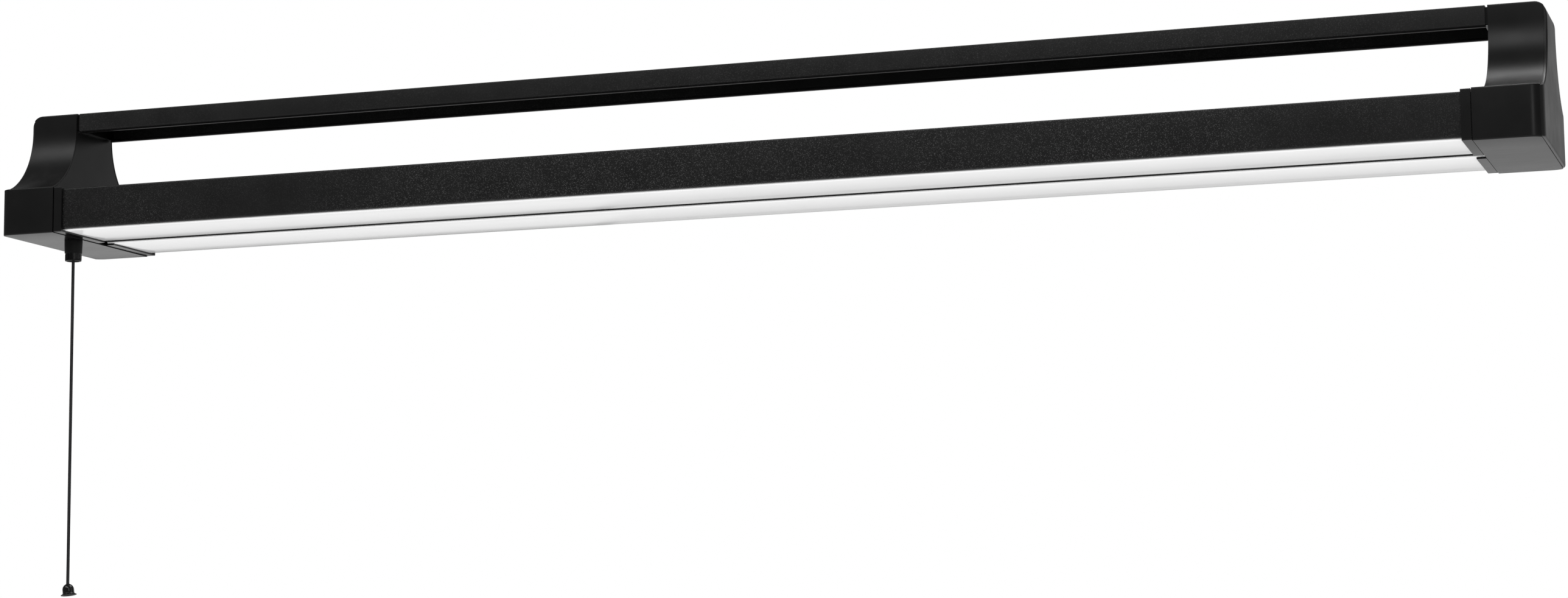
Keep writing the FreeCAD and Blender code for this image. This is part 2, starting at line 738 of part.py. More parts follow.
def led_tray():
    """White reflector: a flat web with flanks sloping down to the outer edges of the lenses."""
    body = new_body("led_tray")
    rim = "(body_width / 2 - sheet_wall - tray_side_gap)"
    seat = "(%s - lens_wall - length_gap)" % HEM_TOP
    flat = "tray_flat / 2"
    drawing = start_sketch(body, "YZ_Plane")
    draw_outline(drawing, [
        ("-" + rim, "-" + seat), ("-" + rim, "-(%s - tray_rim)" % seat), ("-" + flat, "-" + TRAY_TOP),
        (flat, "-" + TRAY_TOP), (rim, "-(%s - tray_rim)" % seat), (rim, "-" + seat),
        (flat, "-" + TRAY_BOTTOM), ("-" + flat, "-" + TRAY_BOTTOM),
    ])
    pad(body, drawing, INNER_LENGTH, symmetric=True)
    drawing = start_sketch(body, "XY_Plane")
    for along in SCREWS_ALONG:
        for way in ("-", ""):
            draw_circle(drawing, "%s * %s" % (along, TRAY_SCREW_X), way + "tray_screw_spread / 2", M3_HOLE)
    for along in SCREWS_ALONG:
        draw_circle(drawing, "%s * %s" % (along, SPINE_SCREW_X), "spine_screw_offset", M3_HOLE)
    for along in SCREWS_ALONG:
        for way in ("-", ""):
            draw_circle(drawing, "%s * %s" % (along, BOARD_SCREW_X),
                        way + "(board_offset + board_screw_offset)", M3_HOLE)
    for way in ("-", "+"):
        draw_circle(drawing, "%s %s (driver_length + lug_length) / 2" % (DRIVER_X, way),
                    "driver_side", M3_HOLE)
    cut(body, drawing)
    return body


def centre_spine():
    """Dark extrusion between the lenses: rims that hold them, a V groove, a web and a foot."""
    body = new_body("centre_spine")
    rim = "spine_width / 2"
    lip = "(spine_width / 2 - spine_rim)"
    web = "spine_web / 2"
    foot = "spine_foot / 2"
    groove = "(%s - spine_groove)" % BODY_BOTTOM
    shoulder = "(%s - spine_wall)" % groove
    under_foot = "(%s + spine_foot_thickness)" % TRAY_BOTTOM
    right = [
        (rim, BODY_BOTTOM), (rim, HEM_TOP), (lip, HEM_TOP), (web, shoulder), (web, under_foot),
        (foot, under_foot), (foot, TRAY_BOTTOM),
    ]
    left = [("-" + across, depth) for across, depth in reversed(right)]
    below = [("-" + lip, BODY_BOTTOM), ("0", groove), (lip, BODY_BOTTOM)]
    drawing = start_sketch(body, "YZ_Plane")
    draw_outline(drawing, [(across, "-" + depth) for across, depth in right + left + below])
    pad(body, drawing, INNER_LENGTH, symmetric=True)
    drawing = start_sketch(body, "XY_Plane", "-" + TRAY_BOTTOM)
    for along in SCREWS_ALONG:
        draw_circle(drawing, "%s * %s" % (along, SPINE_SCREW_X), "spine_screw_offset", M3_HOLE)
    cut(body, drawing, "spine_foot_thickness")
    return body


def diffuser(name, turned):
    """Frosted lens: flanges rest on the hem and the spine, and the panel drops between them."""
    body = new_body(name)
    outer = "(body_width / 2 - sheet_wall - lens_gap)"
    outer_step = "(body_width / 2 - hem_width - lens_gap)"
    inner_step = "(spine_width / 2 + lens_gap)"
    inner = "(spine_width / 2 - spine_rim + lens_flange_gap)"
    top = "(%s - lens_wall)" % HEM_TOP
    face = "(%s + lens_proud)" % BODY_BOTTOM
    inside = "(%s - lens_wall)" % face
    drawing = start_sketch(body, "YZ_Plane")
    corners = [
        (outer, HEM_TOP), (outer_step, HEM_TOP), (outer_step, face), (inner_step, face),
        (inner_step, HEM_TOP), (inner, HEM_TOP), (inner, top), ("(%s + lens_wall)" % inner_step, top),
        ("(%s + lens_wall)" % inner_step, inside), ("(%s - lens_wall)" % outer_step, inside),
        ("(%s - lens_wall)" % outer_step, top), (outer, top),
    ]
    draw_outline(drawing, [("-" + across, "-" + depth) for across, depth in corners])
    panel = pad(body, drawing, INNER_LENGTH, symmetric=True)
    edges = [(-value(outer_step), -value(face)), (-value(inner_step), -value(face))]
    fillet(body, panel, edges_at(panel, 0, edges), "lens_edge_radius")
    place(body, turned=turned)
    return body


def led_board(name, turned):
    """Aluminium-core board strip screwed under the tray."""
    body = new_body(name)
    drawing = start_sketch(body, "XY_Plane", "-(%s + board_thickness)" % TRAY_BOTTOM)
    draw_box(drawing, "-%s / 2" % BOARD_LENGTH, "%s / 2" % BOARD_LENGTH, "-(board_offset + board_width / 2)",
             "-(board_offset - board_width / 2)")
    pad(body, drawing, "board_thickness")
    drawing = start_sketch(body, "XY_Plane")
    for along in SCREWS_ALONG:
        draw_circle(drawing, "%s * %s" % (along, BOARD_SCREW_X),
                    "-(board_offset + board_screw_offset)", M3_HOLE)
    cut(body, drawing)
    place(body, turned=turned)
    return body


# ---------------------------------------------------------------- driver and supply

def driver_case():
    """Slim driver case with a screw lug at each end."""
    body = new_body("driver_case")
    drawing = start_sketch(body, "XY_Plane")
    draw_box(drawing, "-driver_length / 2", "driver_length / 2", "-driver_width / 2", "driver_width / 2")
    box = pad(body, drawing, "driver_height")
    half_length = value("driver_length / 2")
    half_width = value("driver_width / 2")
    corners = [(along * half_length, way * half_width) for along in (-1, 1) for way in (-1, 1)]
    fillet(body, box, edges_at(box, 2, corners), "driver_radius")
    drawing = start_sketch(body, "XY_Plane")
    draw_box(drawing, "-(driver_length / 2 + lug_length)", "driver_length / 2 + lug_length",
             "-lug_width / 2", "lug_width / 2")
    pad(body, drawing, "lug_thickness")
    drawing = start_sketch(body, "XY_Plane")
    for way in ("-", ""):
        draw_circle(drawing, way + "(driver_length + lug_length) / 2", "0", M3_HOLE)
    cut(body, drawing)
    place(body, x=DRIVER_X, y="driver_side", z="-" + TRAY_TOP)
    return body


def terminal_block():
    """Three-way terminal block on the tray, with a wire entry and a screw well for each way."""
    body = new_body("terminal_block")
    drawing = start_sketch(body, "XY_Plane")
    draw_box(drawing, "-terminal_length / 2", "terminal_length / 2", "-terminal_width / 2",
             "terminal_width / 2")
    pad(body, drawing, "terminal_height")
    drawing = start_sketch(body, "XZ_Plane", "-terminal_width / 2")
    for way in centred(3):
        middle = "%s * terminal_pitch" % way
        draw_box(drawing, "%s - wire_entry / 2" % middle, "%s + wire_entry / 2" % middle,
                 "wire_entry / 2", "wire_entry * 3 / 2")
    cut(body, drawing, "wire_entry_depth", upwards=True)
    drawing = start_sketch(body, "XY_Plane", "terminal_height")
    for way in centred(3):
        draw_circle(drawing, "%s * terminal_pitch" % way, "0", "screw_well_radius")
    cut(body, drawing, "screw_well_depth")
    place(body, x="terminal_inset - fixture_length / 2", y="terminal_side", z="-" + TRAY_TOP)
    return body


def inlet_grommet():
    """Rubber ring in the body's top panel, where the supply lead comes in."""
    body = new_body("inlet_grommet")
    drawing = start_sketch(body, "XZ_Plane")
    lower = "-(sheet_wall + fit)"
    draw_outline(drawing, [
        ("inlet_bore", "%s - inlet_lip" % lower), ("inlet_flange", "%s - inlet_lip" % lower),
        ("inlet_flange", lower), ("inlet_neck", lower), ("inlet_neck", "fit"), ("inlet_flange", "fit"),
        ("inlet_flange - inlet_lip / 2", "fit + inlet_lip"), ("inlet_bore", "fit + inlet_lip"),
    ])
    revolve(body, drawing)
    place(body, x="inlet_inset - fixture_length / 2", y="inlet_side", z="-hang_height")
    return body


# ---------------------------------------------------------------- pull switch

SWITCH_X = "(switch_inset - fixture_length / 2)"
CASE_FLOOR = "(cap_floor + case_wall)"
CASE_TOP = "(cap_floor + case_height)"
SPRING_TOP = "(%s + spring_installed)" % CASE_FLOOR
WHEEL_X = "(rack_pitch_offset + pitch_radius)"
WHEEL_Z = "(%s + mesh_height)" % SPRING_TOP
WHEEL_TEETH = 10
SPRING_SIDES = 6
PRESSURE_ANGLE = math.radians(20)


def place_at_switch(body):
    """Put a body drawn about the plunger, up from the cap's underside, in its place."""
    place(body, x=SWITCH_X, y="-switch_offset", z="-" + CAP_BOTTOM)


def switch_barrel():
    """Sleeve that clamps the switch in the cap's floor and guides the plunger's rod."""
    body = new_body("switch_barrel")
    bore = "(rod_radius + running_clearance)"
    drawing = start_sketch(body, "XZ_Plane")
    draw_outline(drawing, [
        (bore, "-barrel_height"), ("barrel_radius - barrel_edge", "-barrel_height"),
        ("barrel_radius", "barrel_edge - barrel_height"), ("barrel_radius", "0"), ("barrel_neck", "0"),
        ("barrel_neck", "cap_floor"), (bore, "cap_floor"),
    ])
    revolve(body, drawing)
    place_at_switch(body)
    return body


def cord_guide():
    """Ring under the barrel: the cord comes out through its hole, in a shallow cup."""
    body = new_body("cord_guide")
    foot = "-(barrel_height + guide_height)"
    drawing = start_sketch(body, "XZ_Plane")
    draw_outline(drawing, [
        ("guide_bore", "-barrel_height"), ("guide_bore", "guide_cup - barrel_height - guide_height"),
        ("guide_radius - guide_cup", foot), ("guide_radius - barrel_edge", foot),
        ("guide_radius", "barrel_edge - barrel_height - guide_height"), ("guide_radius", "-barrel_height"),
    ])
    revolve(body, drawing)
    place_at_switch(body)
    return body


def switch_case():
    """Open-topped case on the cap's floor, with a hole for the rod and one for each axle end."""
    body = new_body("switch_case")
    drawing = start_sketch(body, "XY_Plane", "cap_floor")
    draw_box(drawing, "-case_back", "case_front", "-case_half_width", "case_half_width")
    pad(body, drawing, "case_height")
    drawing = start_sketch(body, "XY_Plane", CASE_TOP)
    draw_box(drawing, "-(case_back - case_wall)", "case_front - case_wall",
             "-(case_half_width - case_wall)", "case_half_width - case_wall")
    cut(body, drawing, "case_height - case_wall")
    drawing = start_sketch(body, "XY_Plane", "cap_floor")
    draw_circle(drawing, "0", "0", "rod_radius + running_clearance")
    cut(body, drawing, "case_wall", upwards=True)
    drawing = start_sketch(body, "XZ_Plane")
    draw_circle(drawing, "-" + WHEEL_X, WHEEL_Z, "axle_radius + fit / 2")
    cut(body, drawing)
    place_at_switch(body)
    return body


def switch_lid():
    """Lid on the switch case, with a rim that drops inside its walls."""
    body = new_body("switch_lid")
    drawing = start_sketch(body, "XY_Plane", CASE_TOP)
    draw_box(drawing, "-case_back", "case_front", "-case_half_width", "case_half_width")
    plate = pad(body, drawing, "lid_thickness")
    back = -value("case_back")
    front = value("case_front")
    side = value("case_half_width")
    corners = [(along, way * side) for along in (back, front) for way in (-1, 1)]
    fillet(body, plate, edges_at(plate, 2, corners), "lid_thickness")
    place_at_switch(body)
    return body


def rack_outline():
    """Side view of the plunger's rack: a bar whose back edge carries straight-flanked teeth."""
    pitch = 2 * math.pi * value("pitch_radius") / WHEEL_TEETH
    line = -value("rack_pitch_offset")
    reach = value("tooth_reach_rack")
    depth = value("tooth_depth_rack")
    half_tooth = pitch / 4 - value("backlash") / 4
    tip = half_tooth - reach * math.tan(PRESSURE_ANGLE)
    root = half_tooth + depth * math.tan(PRESSURE_ANGLE)
    bottom = value(SPRING_TOP)
    top = bottom + value("rack_height")
    mesh = value(WHEEL_Z)
    points = [(value("rack_front"), bottom), (value("rack_front"), top), (line + depth, top)]
    lowest = math.ceil((bottom + root - mesh) / pitch)
    highest = math.floor((top - root - mesh) / pitch)
    for number in range(highest, lowest - 1, -1):
        middle = mesh + number * pitch
        points += [(line + depth, middle + root), (line - reach, middle + tip),
                   (line - reach, middle - tip), (line + depth, middle - root)]
    points.append((line + depth, bottom))
    return points


def switch_plunger():
    """Round rod with a shoulder for the spring and a toothed rack above it."""
    rod_foot = value("-rod_drop")
    shoulder = value(SPRING_TOP)
    rod = Part.makeCylinder(value("rod_radius"), shoulder - rod_foot + 0.5, FreeCAD.Vector(0, 0, rod_foot))
    corners = [FreeCAD.Vector(x, -value("rack_width") / 2, z) for x, z in rack_outline()]
    face = Part.Face(Part.makePolygon(corners + corners[:1]))
    rack = face.extrude(FreeCAD.Vector(0, value("rack_width"), 0))
    # The seat is a disc for the spring, cut off flat where the wheel's teeth pass.
    reach = value("spring_radius + spring_wire")
    thickness = value("seat_thickness")
    back = value("rack_pitch_offset - tooth_depth_rack")
    disc = Part.makeCylinder(reach, thickness, FreeCAD.Vector(0, 0, shoulder))
    block = Part.makeBox(back + reach, 2 * reach, thickness, FreeCAD.Vector(-back, -reach, shoulder))
    seat = disc.common(block)
    plunger = solid_feature("switch_plunger", rod.fuse([rack, seat]).removeSplitter())
    plunger.Placement.Base = FreeCAD.Vector(value(SWITCH_X), value("-switch_offset"), value("-" + CAP_BOTTOM))
    return plunger


def wheel_half_angle(radius, half_at_pitch, pitch_radius, base_radius):
    """Half the angle that an involute tooth spans at a radius."""
    def involute(distance):
        angle = math.acos(min(base_radius / distance, 1))
        return math.tan(angle) - angle
    return half_at_pitch / pitch_radius + involute(pitch_radius) - involute(max(radius, base_radius))


def ratchet_wheel():
    """Toothed wheel with a square cam beside it, on a bore for the axle."""
    pitch_radius = value("pitch_radius")
    base_radius = pitch_radius * math.cos(PRESSURE_ANGLE)
    root_radius = pitch_radius - value("tooth_depth_wheel")
    tip_radius = pitch_radius + value("tooth_reach_wheel")
    half_at_pitch = math.pi * pitch_radius / WHEEL_TEETH / 2 - value("backlash") / 4
    radii = [root_radius, base_radius, pitch_radius, (pitch_radius + tip_radius) / 2, tip_radius]
    points = []
    for tooth in range(WHEEL_TEETH):
        # A gap of the wheel faces the rack's tooth at rest, so the teeth start half a step round.
        middle = 2 * math.pi * (tooth + 0.5) / WHEEL_TEETH
        flank = [(radius, wheel_half_angle(radius, half_at_pitch, pitch_radius, base_radius))
                 for radius in radii]
        for radius, half in flank:
            points.append((radius * math.cos(middle - half), radius * math.sin(middle - half)))
        for radius, half in reversed(flank):
            points.append((radius * math.cos(middle + half), radius * math.sin(middle + half)))
    width = value("wheel_width")
    corners = [FreeCAD.Vector(x, -width / 2, z) for x, z in points]
    wheel = Part.Face(Part.makePolygon(corners + corners[:1])).extrude(FreeCAD.Vector(0, width, 0))
    half = value("cam_half")
    cam = Part.makeBox(2 * half, value("cam_width"), 2 * half, FreeCAD.Vector(-half, width / 2, -half))
    cam = cam.makeFillet(half / 2, [edge for edge in cam.Edges if edge.Length < value("cam_width") + 1e-6])
    bore = Part.makeCylinder(value("axle_radius + running_clearance"), 4 * width,
                             FreeCAD.Vector(0, -2 * width, 0), FreeCAD.Vector(0, 1, 0))
    feature = solid_feature("ratchet_wheel", wheel.fuse(cam).cut(bore))
    feature.Placement.Base = FreeCAD.Vector(
        value("%s - %s" % (SWITCH_X, WHEEL_X)), value("-switch_offset"),
        value("%s - %s" % (WHEEL_Z, CAP_BOTTOM)))
    return feature


def wheel_axle():
    """Steel pin across the switch case, which the wheel turns on."""
    pin = document.addObject("Part::Cylinder", "wheel_axle")
    pin.Label = "wheel_axle"
    pin.setExpression("Radius", bound("axle_radius"))
    pin.setExpression("Height", bound("2 * case_half_width"))
    pin.Placement = FreeCAD.Placement(
        FreeCAD.Vector(value("%s - %s" % (SWITCH_X, WHEEL_X)), value("case_half_width - switch_offset"),
                       value("%s - %s" % (WHEEL_Z, CAP_BOTTOM))),
        FreeCAD.Rotation(FreeCAD.Vector(1, 0, 0), 90))
    pin.setExpression("Placement.Base.x", bound("%s - %s" % (SWITCH_X, WHEEL_X)))
    pin.setExpression("Placement.Base.y", bound("case_half_width - switch_offset"))
    pin.setExpression("Placement.Base.z", bound("%s - %s" % (WHEEL_Z, CAP_BOTTOM)))
    return pin


def helix_point(radius, rise, turn):
    angle = 2 * math.pi * turn
    return FreeCAD.Vector(radius * math.cos(angle), radius * math.sin(angle), rise * turn)


def helix_tangent(radius, rise, turn):
    angle = 2 * math.pi * turn
    tangent = FreeCAD.Vector(-radius * math.sin(angle) * 2 * math.pi,
                             radius * math.cos(angle) * 2 * math.pi, rise)
    return tangent.normalize()


def arc_from_tangents(start, corner, finish):
    """The arc that leaves start and meets finish along the lines to their shared corner."""
    middle = (start + finish) / 2
    half_chord = (finish - start).Length / 2
    height = (corner - middle).Length
    half_turn = math.atan2(height, half_chord)
    crown = middle + (corner - middle) * (math.cos(half_turn) / (1 + math.cos(half_turn)))
    return Part.Arc(start, crown, finish).toShape()


def helix_wire(radius, rise, turns):
    """A helix as biarcs of a quarter turn each."""
    edges = []
    steps = int(round(4 * turns))
    for step in range(steps):
        first = step / 4
        last = (step + 1) / 4
        start = helix_point(radius, rise, first)
        finish = helix_point(radius, rise, last)
        leaving = helix_tangent(radius, rise, first)
        arriving = helix_tangent(radius, rise, last)
        across = finish - start
        square = 2 * (leaving.dot(arriving) - 1)
        linear = -2 * across.dot(leaving + arriving)
        constant = across.dot(across)
        reach = (-linear - math.sqrt(linear ** 2 - 4 * square * constant)) / (2 * square)
        if reach < 0:
            reach = (-linear + math.sqrt(linear ** 2 - 4 * square * constant)) / (2 * square)
        first_corner = start + leaving * reach
        second_corner = finish - arriving * reach
        joint = (first_corner + second_corner) / 2
        edges.append(arc_from_tangents(start, first_corner, joint))
        edges.append(arc_from_tangents(joint, second_corner, finish))
    return Part.Wire(edges)


def plunger_spring():
    """Compression spring round the rod: one unbroken helix of wire with a six-sided section."""
    wire = value("spring_wire")
    radius = value("spring_radius")
    turns = value("spring_turns")
    rise = value("spring_installed - spring_wire - 2 * spring_end_gap") / turns
    forward = helix_tangent(radius, rise, 0)
    outward = FreeCAD.Vector(1, 0, 0)
    across = forward.cross(outward)
    corners = []
    for number in range(SPRING_SIDES):
        angle = 2 * math.pi * number / SPRING_SIDES
        spoke = outward * math.cos(angle) + across * math.sin(angle)
        corners.append(helix_point(radius, rise, 0) + spoke * (wire / 2))
    section = Part.makePolygon(corners + corners[:1])
    coil = helix_wire(radius, rise, turns).makePipeShell([section], True, False)
    gap = rise * math.cos(math.atan(rise / (2 * math.pi * radius))) - wire
    print("plunger_spring: least gap between its turns %.2f mm" % gap)
    feature = solid_feature("plunger_spring", coil)
    foot = value("%s + spring_wire / 2 + spring_end_gap - %s" % (CASE_FLOOR, CAP_BOTTOM))
    feature.Placement.Base = FreeCAD.Vector(value(SWITCH_X), value("-switch_offset"), foot)
    return feature


# The moving blade lies just under the cam, whose corners are rounded to half of its half width.
CAM_REACH = "(cam_half * (sqrt(2) + 1) / 2)"
BLADE_TOP = "(%s - %s - contact_gap)" % (WHEEL_Z, CAM_REACH)
BLADE_SIDE = "-(wheel_width / 2 + contact_gap + contact_width)"


def contact_moving():
    """Brass blade: up the case's end wall and out under the cam, which presses it down."""
    body = new_body("contact_moving")
    wall = "-(case_back - case_wall)"
    inner = "(contact_thickness - (case_back - case_wall))"
    tip = "(contact_reach - (case_back - case_wall))"
    drawing = start_sketch(body, "XZ_Plane", BLADE_SIDE)
    draw_outline(drawing, [
        (wall, CASE_FLOOR), (inner, CASE_FLOOR), (inner, "%s - contact_thickness" % BLADE_TOP),
        (tip, "%s - contact_thickness" % BLADE_TOP), (tip, BLADE_TOP), (wall, BLADE_TOP),
    ])
    pad(body, drawing, "contact_width")
    place_at_switch(body)
    return body


def contact_fixed():
    """Brass angle on the case's floor that the moving blade comes down on."""
    body = new_body("contact_fixed")
    back = "(contact_reach - (case_back - case_wall) - contact_thickness)"
    heel = "(%s - contact_foot)" % back
    top = "(%s - contact_thickness - contact_opening)" % BLADE_TOP
    drawing = start_sketch(body, "XZ_Plane", BLADE_SIDE)
    draw_outline(drawing, [
        (heel, CASE_FLOOR), ("%s + contact_thickness" % back, CASE_FLOOR),
        ("%s + contact_thickness" % back, top), (back, top),
        (back, "%s + contact_thickness" % CASE_FLOOR), (heel, "%s + contact_thickness" % CASE_FLOOR),
    ])
    pad(body, drawing, "contact_width")
    place_at_switch(body)
    return body


# ---------------------------------------------------------------- cord

GUIDE_FOOT = "(%s + barrel_height + guide_height)" % CAP_BOTTOM
BELL_TOP = "(%s + cord_drop)" % GUIDE_FOOT


def pull_cord():
    """Round cord hanging straight from the plunger's rod to the knot in the bell."""
    top = -value(CAP_BOTTOM) - value("rod_drop")
    bottom = -value(BELL_TOP) - value("bell_wall + knot_gap")
    radius = value("cord_radius")
    length = top - bottom
    foot = FreeCAD.Vector(value(SWITCH_X), value("-switch_offset"), bottom)
    tube = Part.makeCylinder(radius, length, foot)
    print("pull_cord: length %.1f mm, straight, so it has no radii; volume %.2f mm3, section x length %.2f"
          % (length, tube.Volume, math.pi * radius ** 2 * length))
    return solid_feature("pull_cord", tube)


def cord_bell():
    """Small moulded bell on the cord's end: a dome that flares to a rim, open below."""
    body = new_body("cord_bell")
    lip = "(bell_height - bell_rim_height)"
    inner = "(bell_dome_radius - bell_wall)"
    flare = "(bell_rim_height * 1.2)"
    drawing = start_sketch(body, "XZ_Plane")
    draw_outline(drawing, [
        ("bell_hole", "0"), ("bell_hole", "-bell_wall"), ("%s - bell_hole" % inner, "-bell_wall"),
        (inner, "-(bell_wall + bell_hole)"), (inner, "-" + lip),
        ("bell_rim_radius - bell_wall", "-bell_height"), ("bell_rim_radius", "-bell_height"),
        ("bell_rim_radius", "-(bell_height - bell_rim_edge)", flare, -1),
        ("bell_dome_radius", "-" + lip), ("bell_dome_radius", "-bell_dome_radius", "bell_dome_radius", 1),
    ])
    revolve(body, drawing)
    place(body, x=SWITCH_X, y="-switch_offset", z="-" + BELL_TOP)
    return body


def cord_knot():
    """Overhand knot inside the bell, which the bell hangs on."""
    body = new_body("cord_knot")
    drawing = start_sketch(body, "XZ_Plane")
    waist = "(knot_radius / 2)"
    draw_outline(drawing, [
        ("0", "0"), ("0", "-knot_height"), (waist, "-knot_height"), ("knot_radius", "-knot_height * 2 / 3"),
        ("knot_radius", "-knot_height / 3"), (waist, "0"),
    ])
    revolve(body, drawing)
    place(body, x=SWITCH_X, y="-switch_offset", z="-(%s + bell_wall + knot_gap)" % BELL_TOP)
    return body


# ---------------------------------------------------------------- groups of like pieces

SHANK_SIDES = 8
HEAD_SIDES = 12
SPACER_SIDES = 6

def prism(radius, height, level, sides):
    """An upright prism on a regular polygon."""
    corners = []
    for number in range(sides):
        angle = 2 * math.pi * (number + 0.5) / sides
        corners.append(FreeCAD.Vector(radius * math.cos(angle), radius * math.sin(angle), level))
    return Part.Face(Part.makePolygon(corners + corners[:1])).extrude(FreeCAD.Vector(0, 0, height))


def screw(radius, length):
    """A pan-head screw with few facets: head above zero and shank below."""
    head = prism(radius * value("head_ratio"), radius * value("head_height_ratio"), 0, HEAD_SIDES)
    return head.fuse(prism(radius, length, -length, SHANK_SIDES))


def set_of(label, shape, places, direction=(0, 0, 1)):
    """One sub-part of several copies of a shape, its +Z axis turned to a direction."""
    turn = FreeCAD.Rotation(FreeCAD.Vector(0, 0, 1), FreeCAD.Vector(*direction))
    copies = []
    for spot in places:
        copy = shape.copy()
        copy.Placement = FreeCAD.Placement(FreeCAD.Vector(*spot), turn)
        copies.append(copy)
    return solid_feature(label, Part.Compound(copies))


def end_screws(label, radius, length, spread, depth):
    """Pairs of screws through both end plates, from the body's side, as one sub-part."""
    face = value("fixture_length / 2 - %s - plate_thickness" % PLATE_FACE)
    shape = screw(radius, value(length))
    copies = []
    for way in (-1, 1):
        turn = FreeCAD.Rotation(FreeCAD.Vector(0, 0, 1), FreeCAD.Vector(-way, 0, 0))
        for side in (-1, 1):
            copy = shape.copy()
            spot = FreeCAD.Vector(way * face, side * value(spread) / 2, -value(depth))
            copy.Placement = FreeCAD.Placement(spot, turn)
            copies.append(copy)
    return solid_feature(label, Part.Compound(copies))


def rail_screws():
    """Screws up from inside the rail's channel, through the tongues into its top wall."""
    reach = value("fixture_length / 2 - cap_length - rail_screw_reach")
    under_tongue = -value("rail_wall + bracket_thickness")
    shape = screw(value("m4_radius"), value("rail_wall + bracket_thickness - fit"))
    return set_of("rail_screws", shape, [(way * reach, 0, under_tongue) for way in (-1, 1)], (0, 0, -1))


def tray_spots():
    """Where the tray hangs from the body's top panel, seen from above."""
    return [(along * value(TRAY_SCREW_X), side * value("tray_screw_spread") / 2)
            for along in SCREWS_ALONG for side in (-1, 1)]


def tray_screws():
    shape = screw(value("m3_radius"), value("tray_screw_length"))
    places = [(x, y, -value(TRAY_BOTTOM)) for x, y in tray_spots()]
    return set_of("tray_screws", shape, places, (0, 0, -1))


def tray_spacers():
    """Hexagonal stand-offs between the body's top panel and the tray."""
    height = value("tray_drop - sheet_wall")
    bore = prism(value(M3_HOLE), height, 0, SHANK_SIDES)
    spacer = prism(value("spacer_radius"), height, 0, SPACER_SIDES).cut(bore)
    return set_of("tray_spacers", spacer, [(x, y, -value(TRAY_TOP)) for x, y in tray_spots()])


def spine_screws():
    shape = screw(value("m3_radius"), value("spine_screw_length"))
    places = [(along * value(SPINE_SCREW_X), value("spine_screw_offset"), -value(TRAY_TOP))
              for along in SCREWS_ALONG]
    return set_of("spine_screws", shape, places)


def board_screws():
    """Screws up through the boards and the tray."""
    shape = screw(value("m3_radius"), value("board_screw_length"))
    across = value("board_offset + board_screw_offset")
    level = -value("%s + board_thickness" % TRAY_BOTTOM)
    places = [(along * value(BOARD_SCREW_X), side * across, level)
              for along in SCREWS_ALONG for side in (-1, 1)]
    return set_of("board_screws", shape, places, (0, 0, -1))


def driver_screws():
    """Screws down through the driver's lugs and the tray."""
    shape = screw(value("m3_radius"), value("driver_screw_length"))
    reach = value("(driver_length + lug_length) / 2")
    level = value("lug_thickness - %s" % TRAY_TOP)
    places = [(way * reach + value(DRIVER_X), value("driver_side"), level) for way in (-1, 1)]
    return set_of("driver_screws", shape, places)


def led_chips(name, side):
    """Row of light-emitting chips soldered under a board."""
    count = int(value(BOARD_LENGTH) // value("chip_pitch"))
    low = -value("%s + board_thickness + chip_height" % TRAY_BOTTOM)
    length = value("chip_length")
    width = value("chip_width")
    chips = []
    for along in centred(count):
        corner = FreeCAD.Vector(along * value("chip_pitch") - length / 2,
                                side * value("board_offset") - width / 2, low)
        chips.append(Part.makeBox(length, width, value("chip_height"), corner))
    return solid_feature(name, Part.Compound(chips))


# ---------------------------------------------------------------- build and write

def build():
    """Make every sub-part and return them all."""
    parts = [top_rail(), body_housing(), led_tray(), centre_spine()]
    for side in ("left", "right"):
        parts += [end_cap(side), end_cover(side), arm_cover(side), hanger_bracket(side), collar(side),
                  end_plate(side)]
    for name, turned, way in (("front", False, -1), ("rear", True, 1)):
        parts += [diffuser("diffuser_" + name, turned), led_board("led_board_" + name, turned),
                  led_chips("led_chips_" + name, way)]
    parts += [driver_case(), terminal_block(), inlet_grommet()]
    parts += [switch_case(), switch_lid(), switch_barrel(), cord_guide(), switch_plunger(), plunger_spring(),
              ratchet_wheel(), wheel_axle(), contact_fixed(), contact_moving()]
    parts += [pull_cord(), cord_bell(), cord_knot()]
    parts += [end_screws("cap_screws", value("m3_radius"), "cap_screw_length", "boss_spread", BOSS_DEPTH),
              end_screws("bracket_screws", value("m4_radius"), "bracket_screw_length",
                         "bracket_screw_spread", BRACKET_SCREW_DEPTH)]
    parts += [rail_screws(), tray_screws(), tray_spacers(), spine_screws(), board_screws(), driver_screws()]
    return parts


def check_and_write(parts):
    """Stop at any failed object or faulty shape, then write one STEP file for each sub-part."""
    document.recompute()
    for thing in document.Objects:
        if "Invalid" in thing.State or "Error" in thing.State:
            raise RuntimeError("%s did not compute" % thing.Label)
    for part in parts:
        if part.Shape.isNull() or not part.Shape.isValid() or part.Shape.Volume <= 0:
            raise RuntimeError("%s has a faulty shape" % part.Label)
    os.makedirs("parts", exist_ok=True)
    for part in parts:
        part.Shape.exportStep("parts/%s.step" % part.Label)
    print("%d sub-parts written" % len(parts))


check_and_write(build())
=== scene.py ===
import logging
import math
from dataclasses import dataclass
from enum import Enum

import bmesh
import bpy
from mathutils import Matrix, Vector
from mathutils.geometry import tessellate_polygon


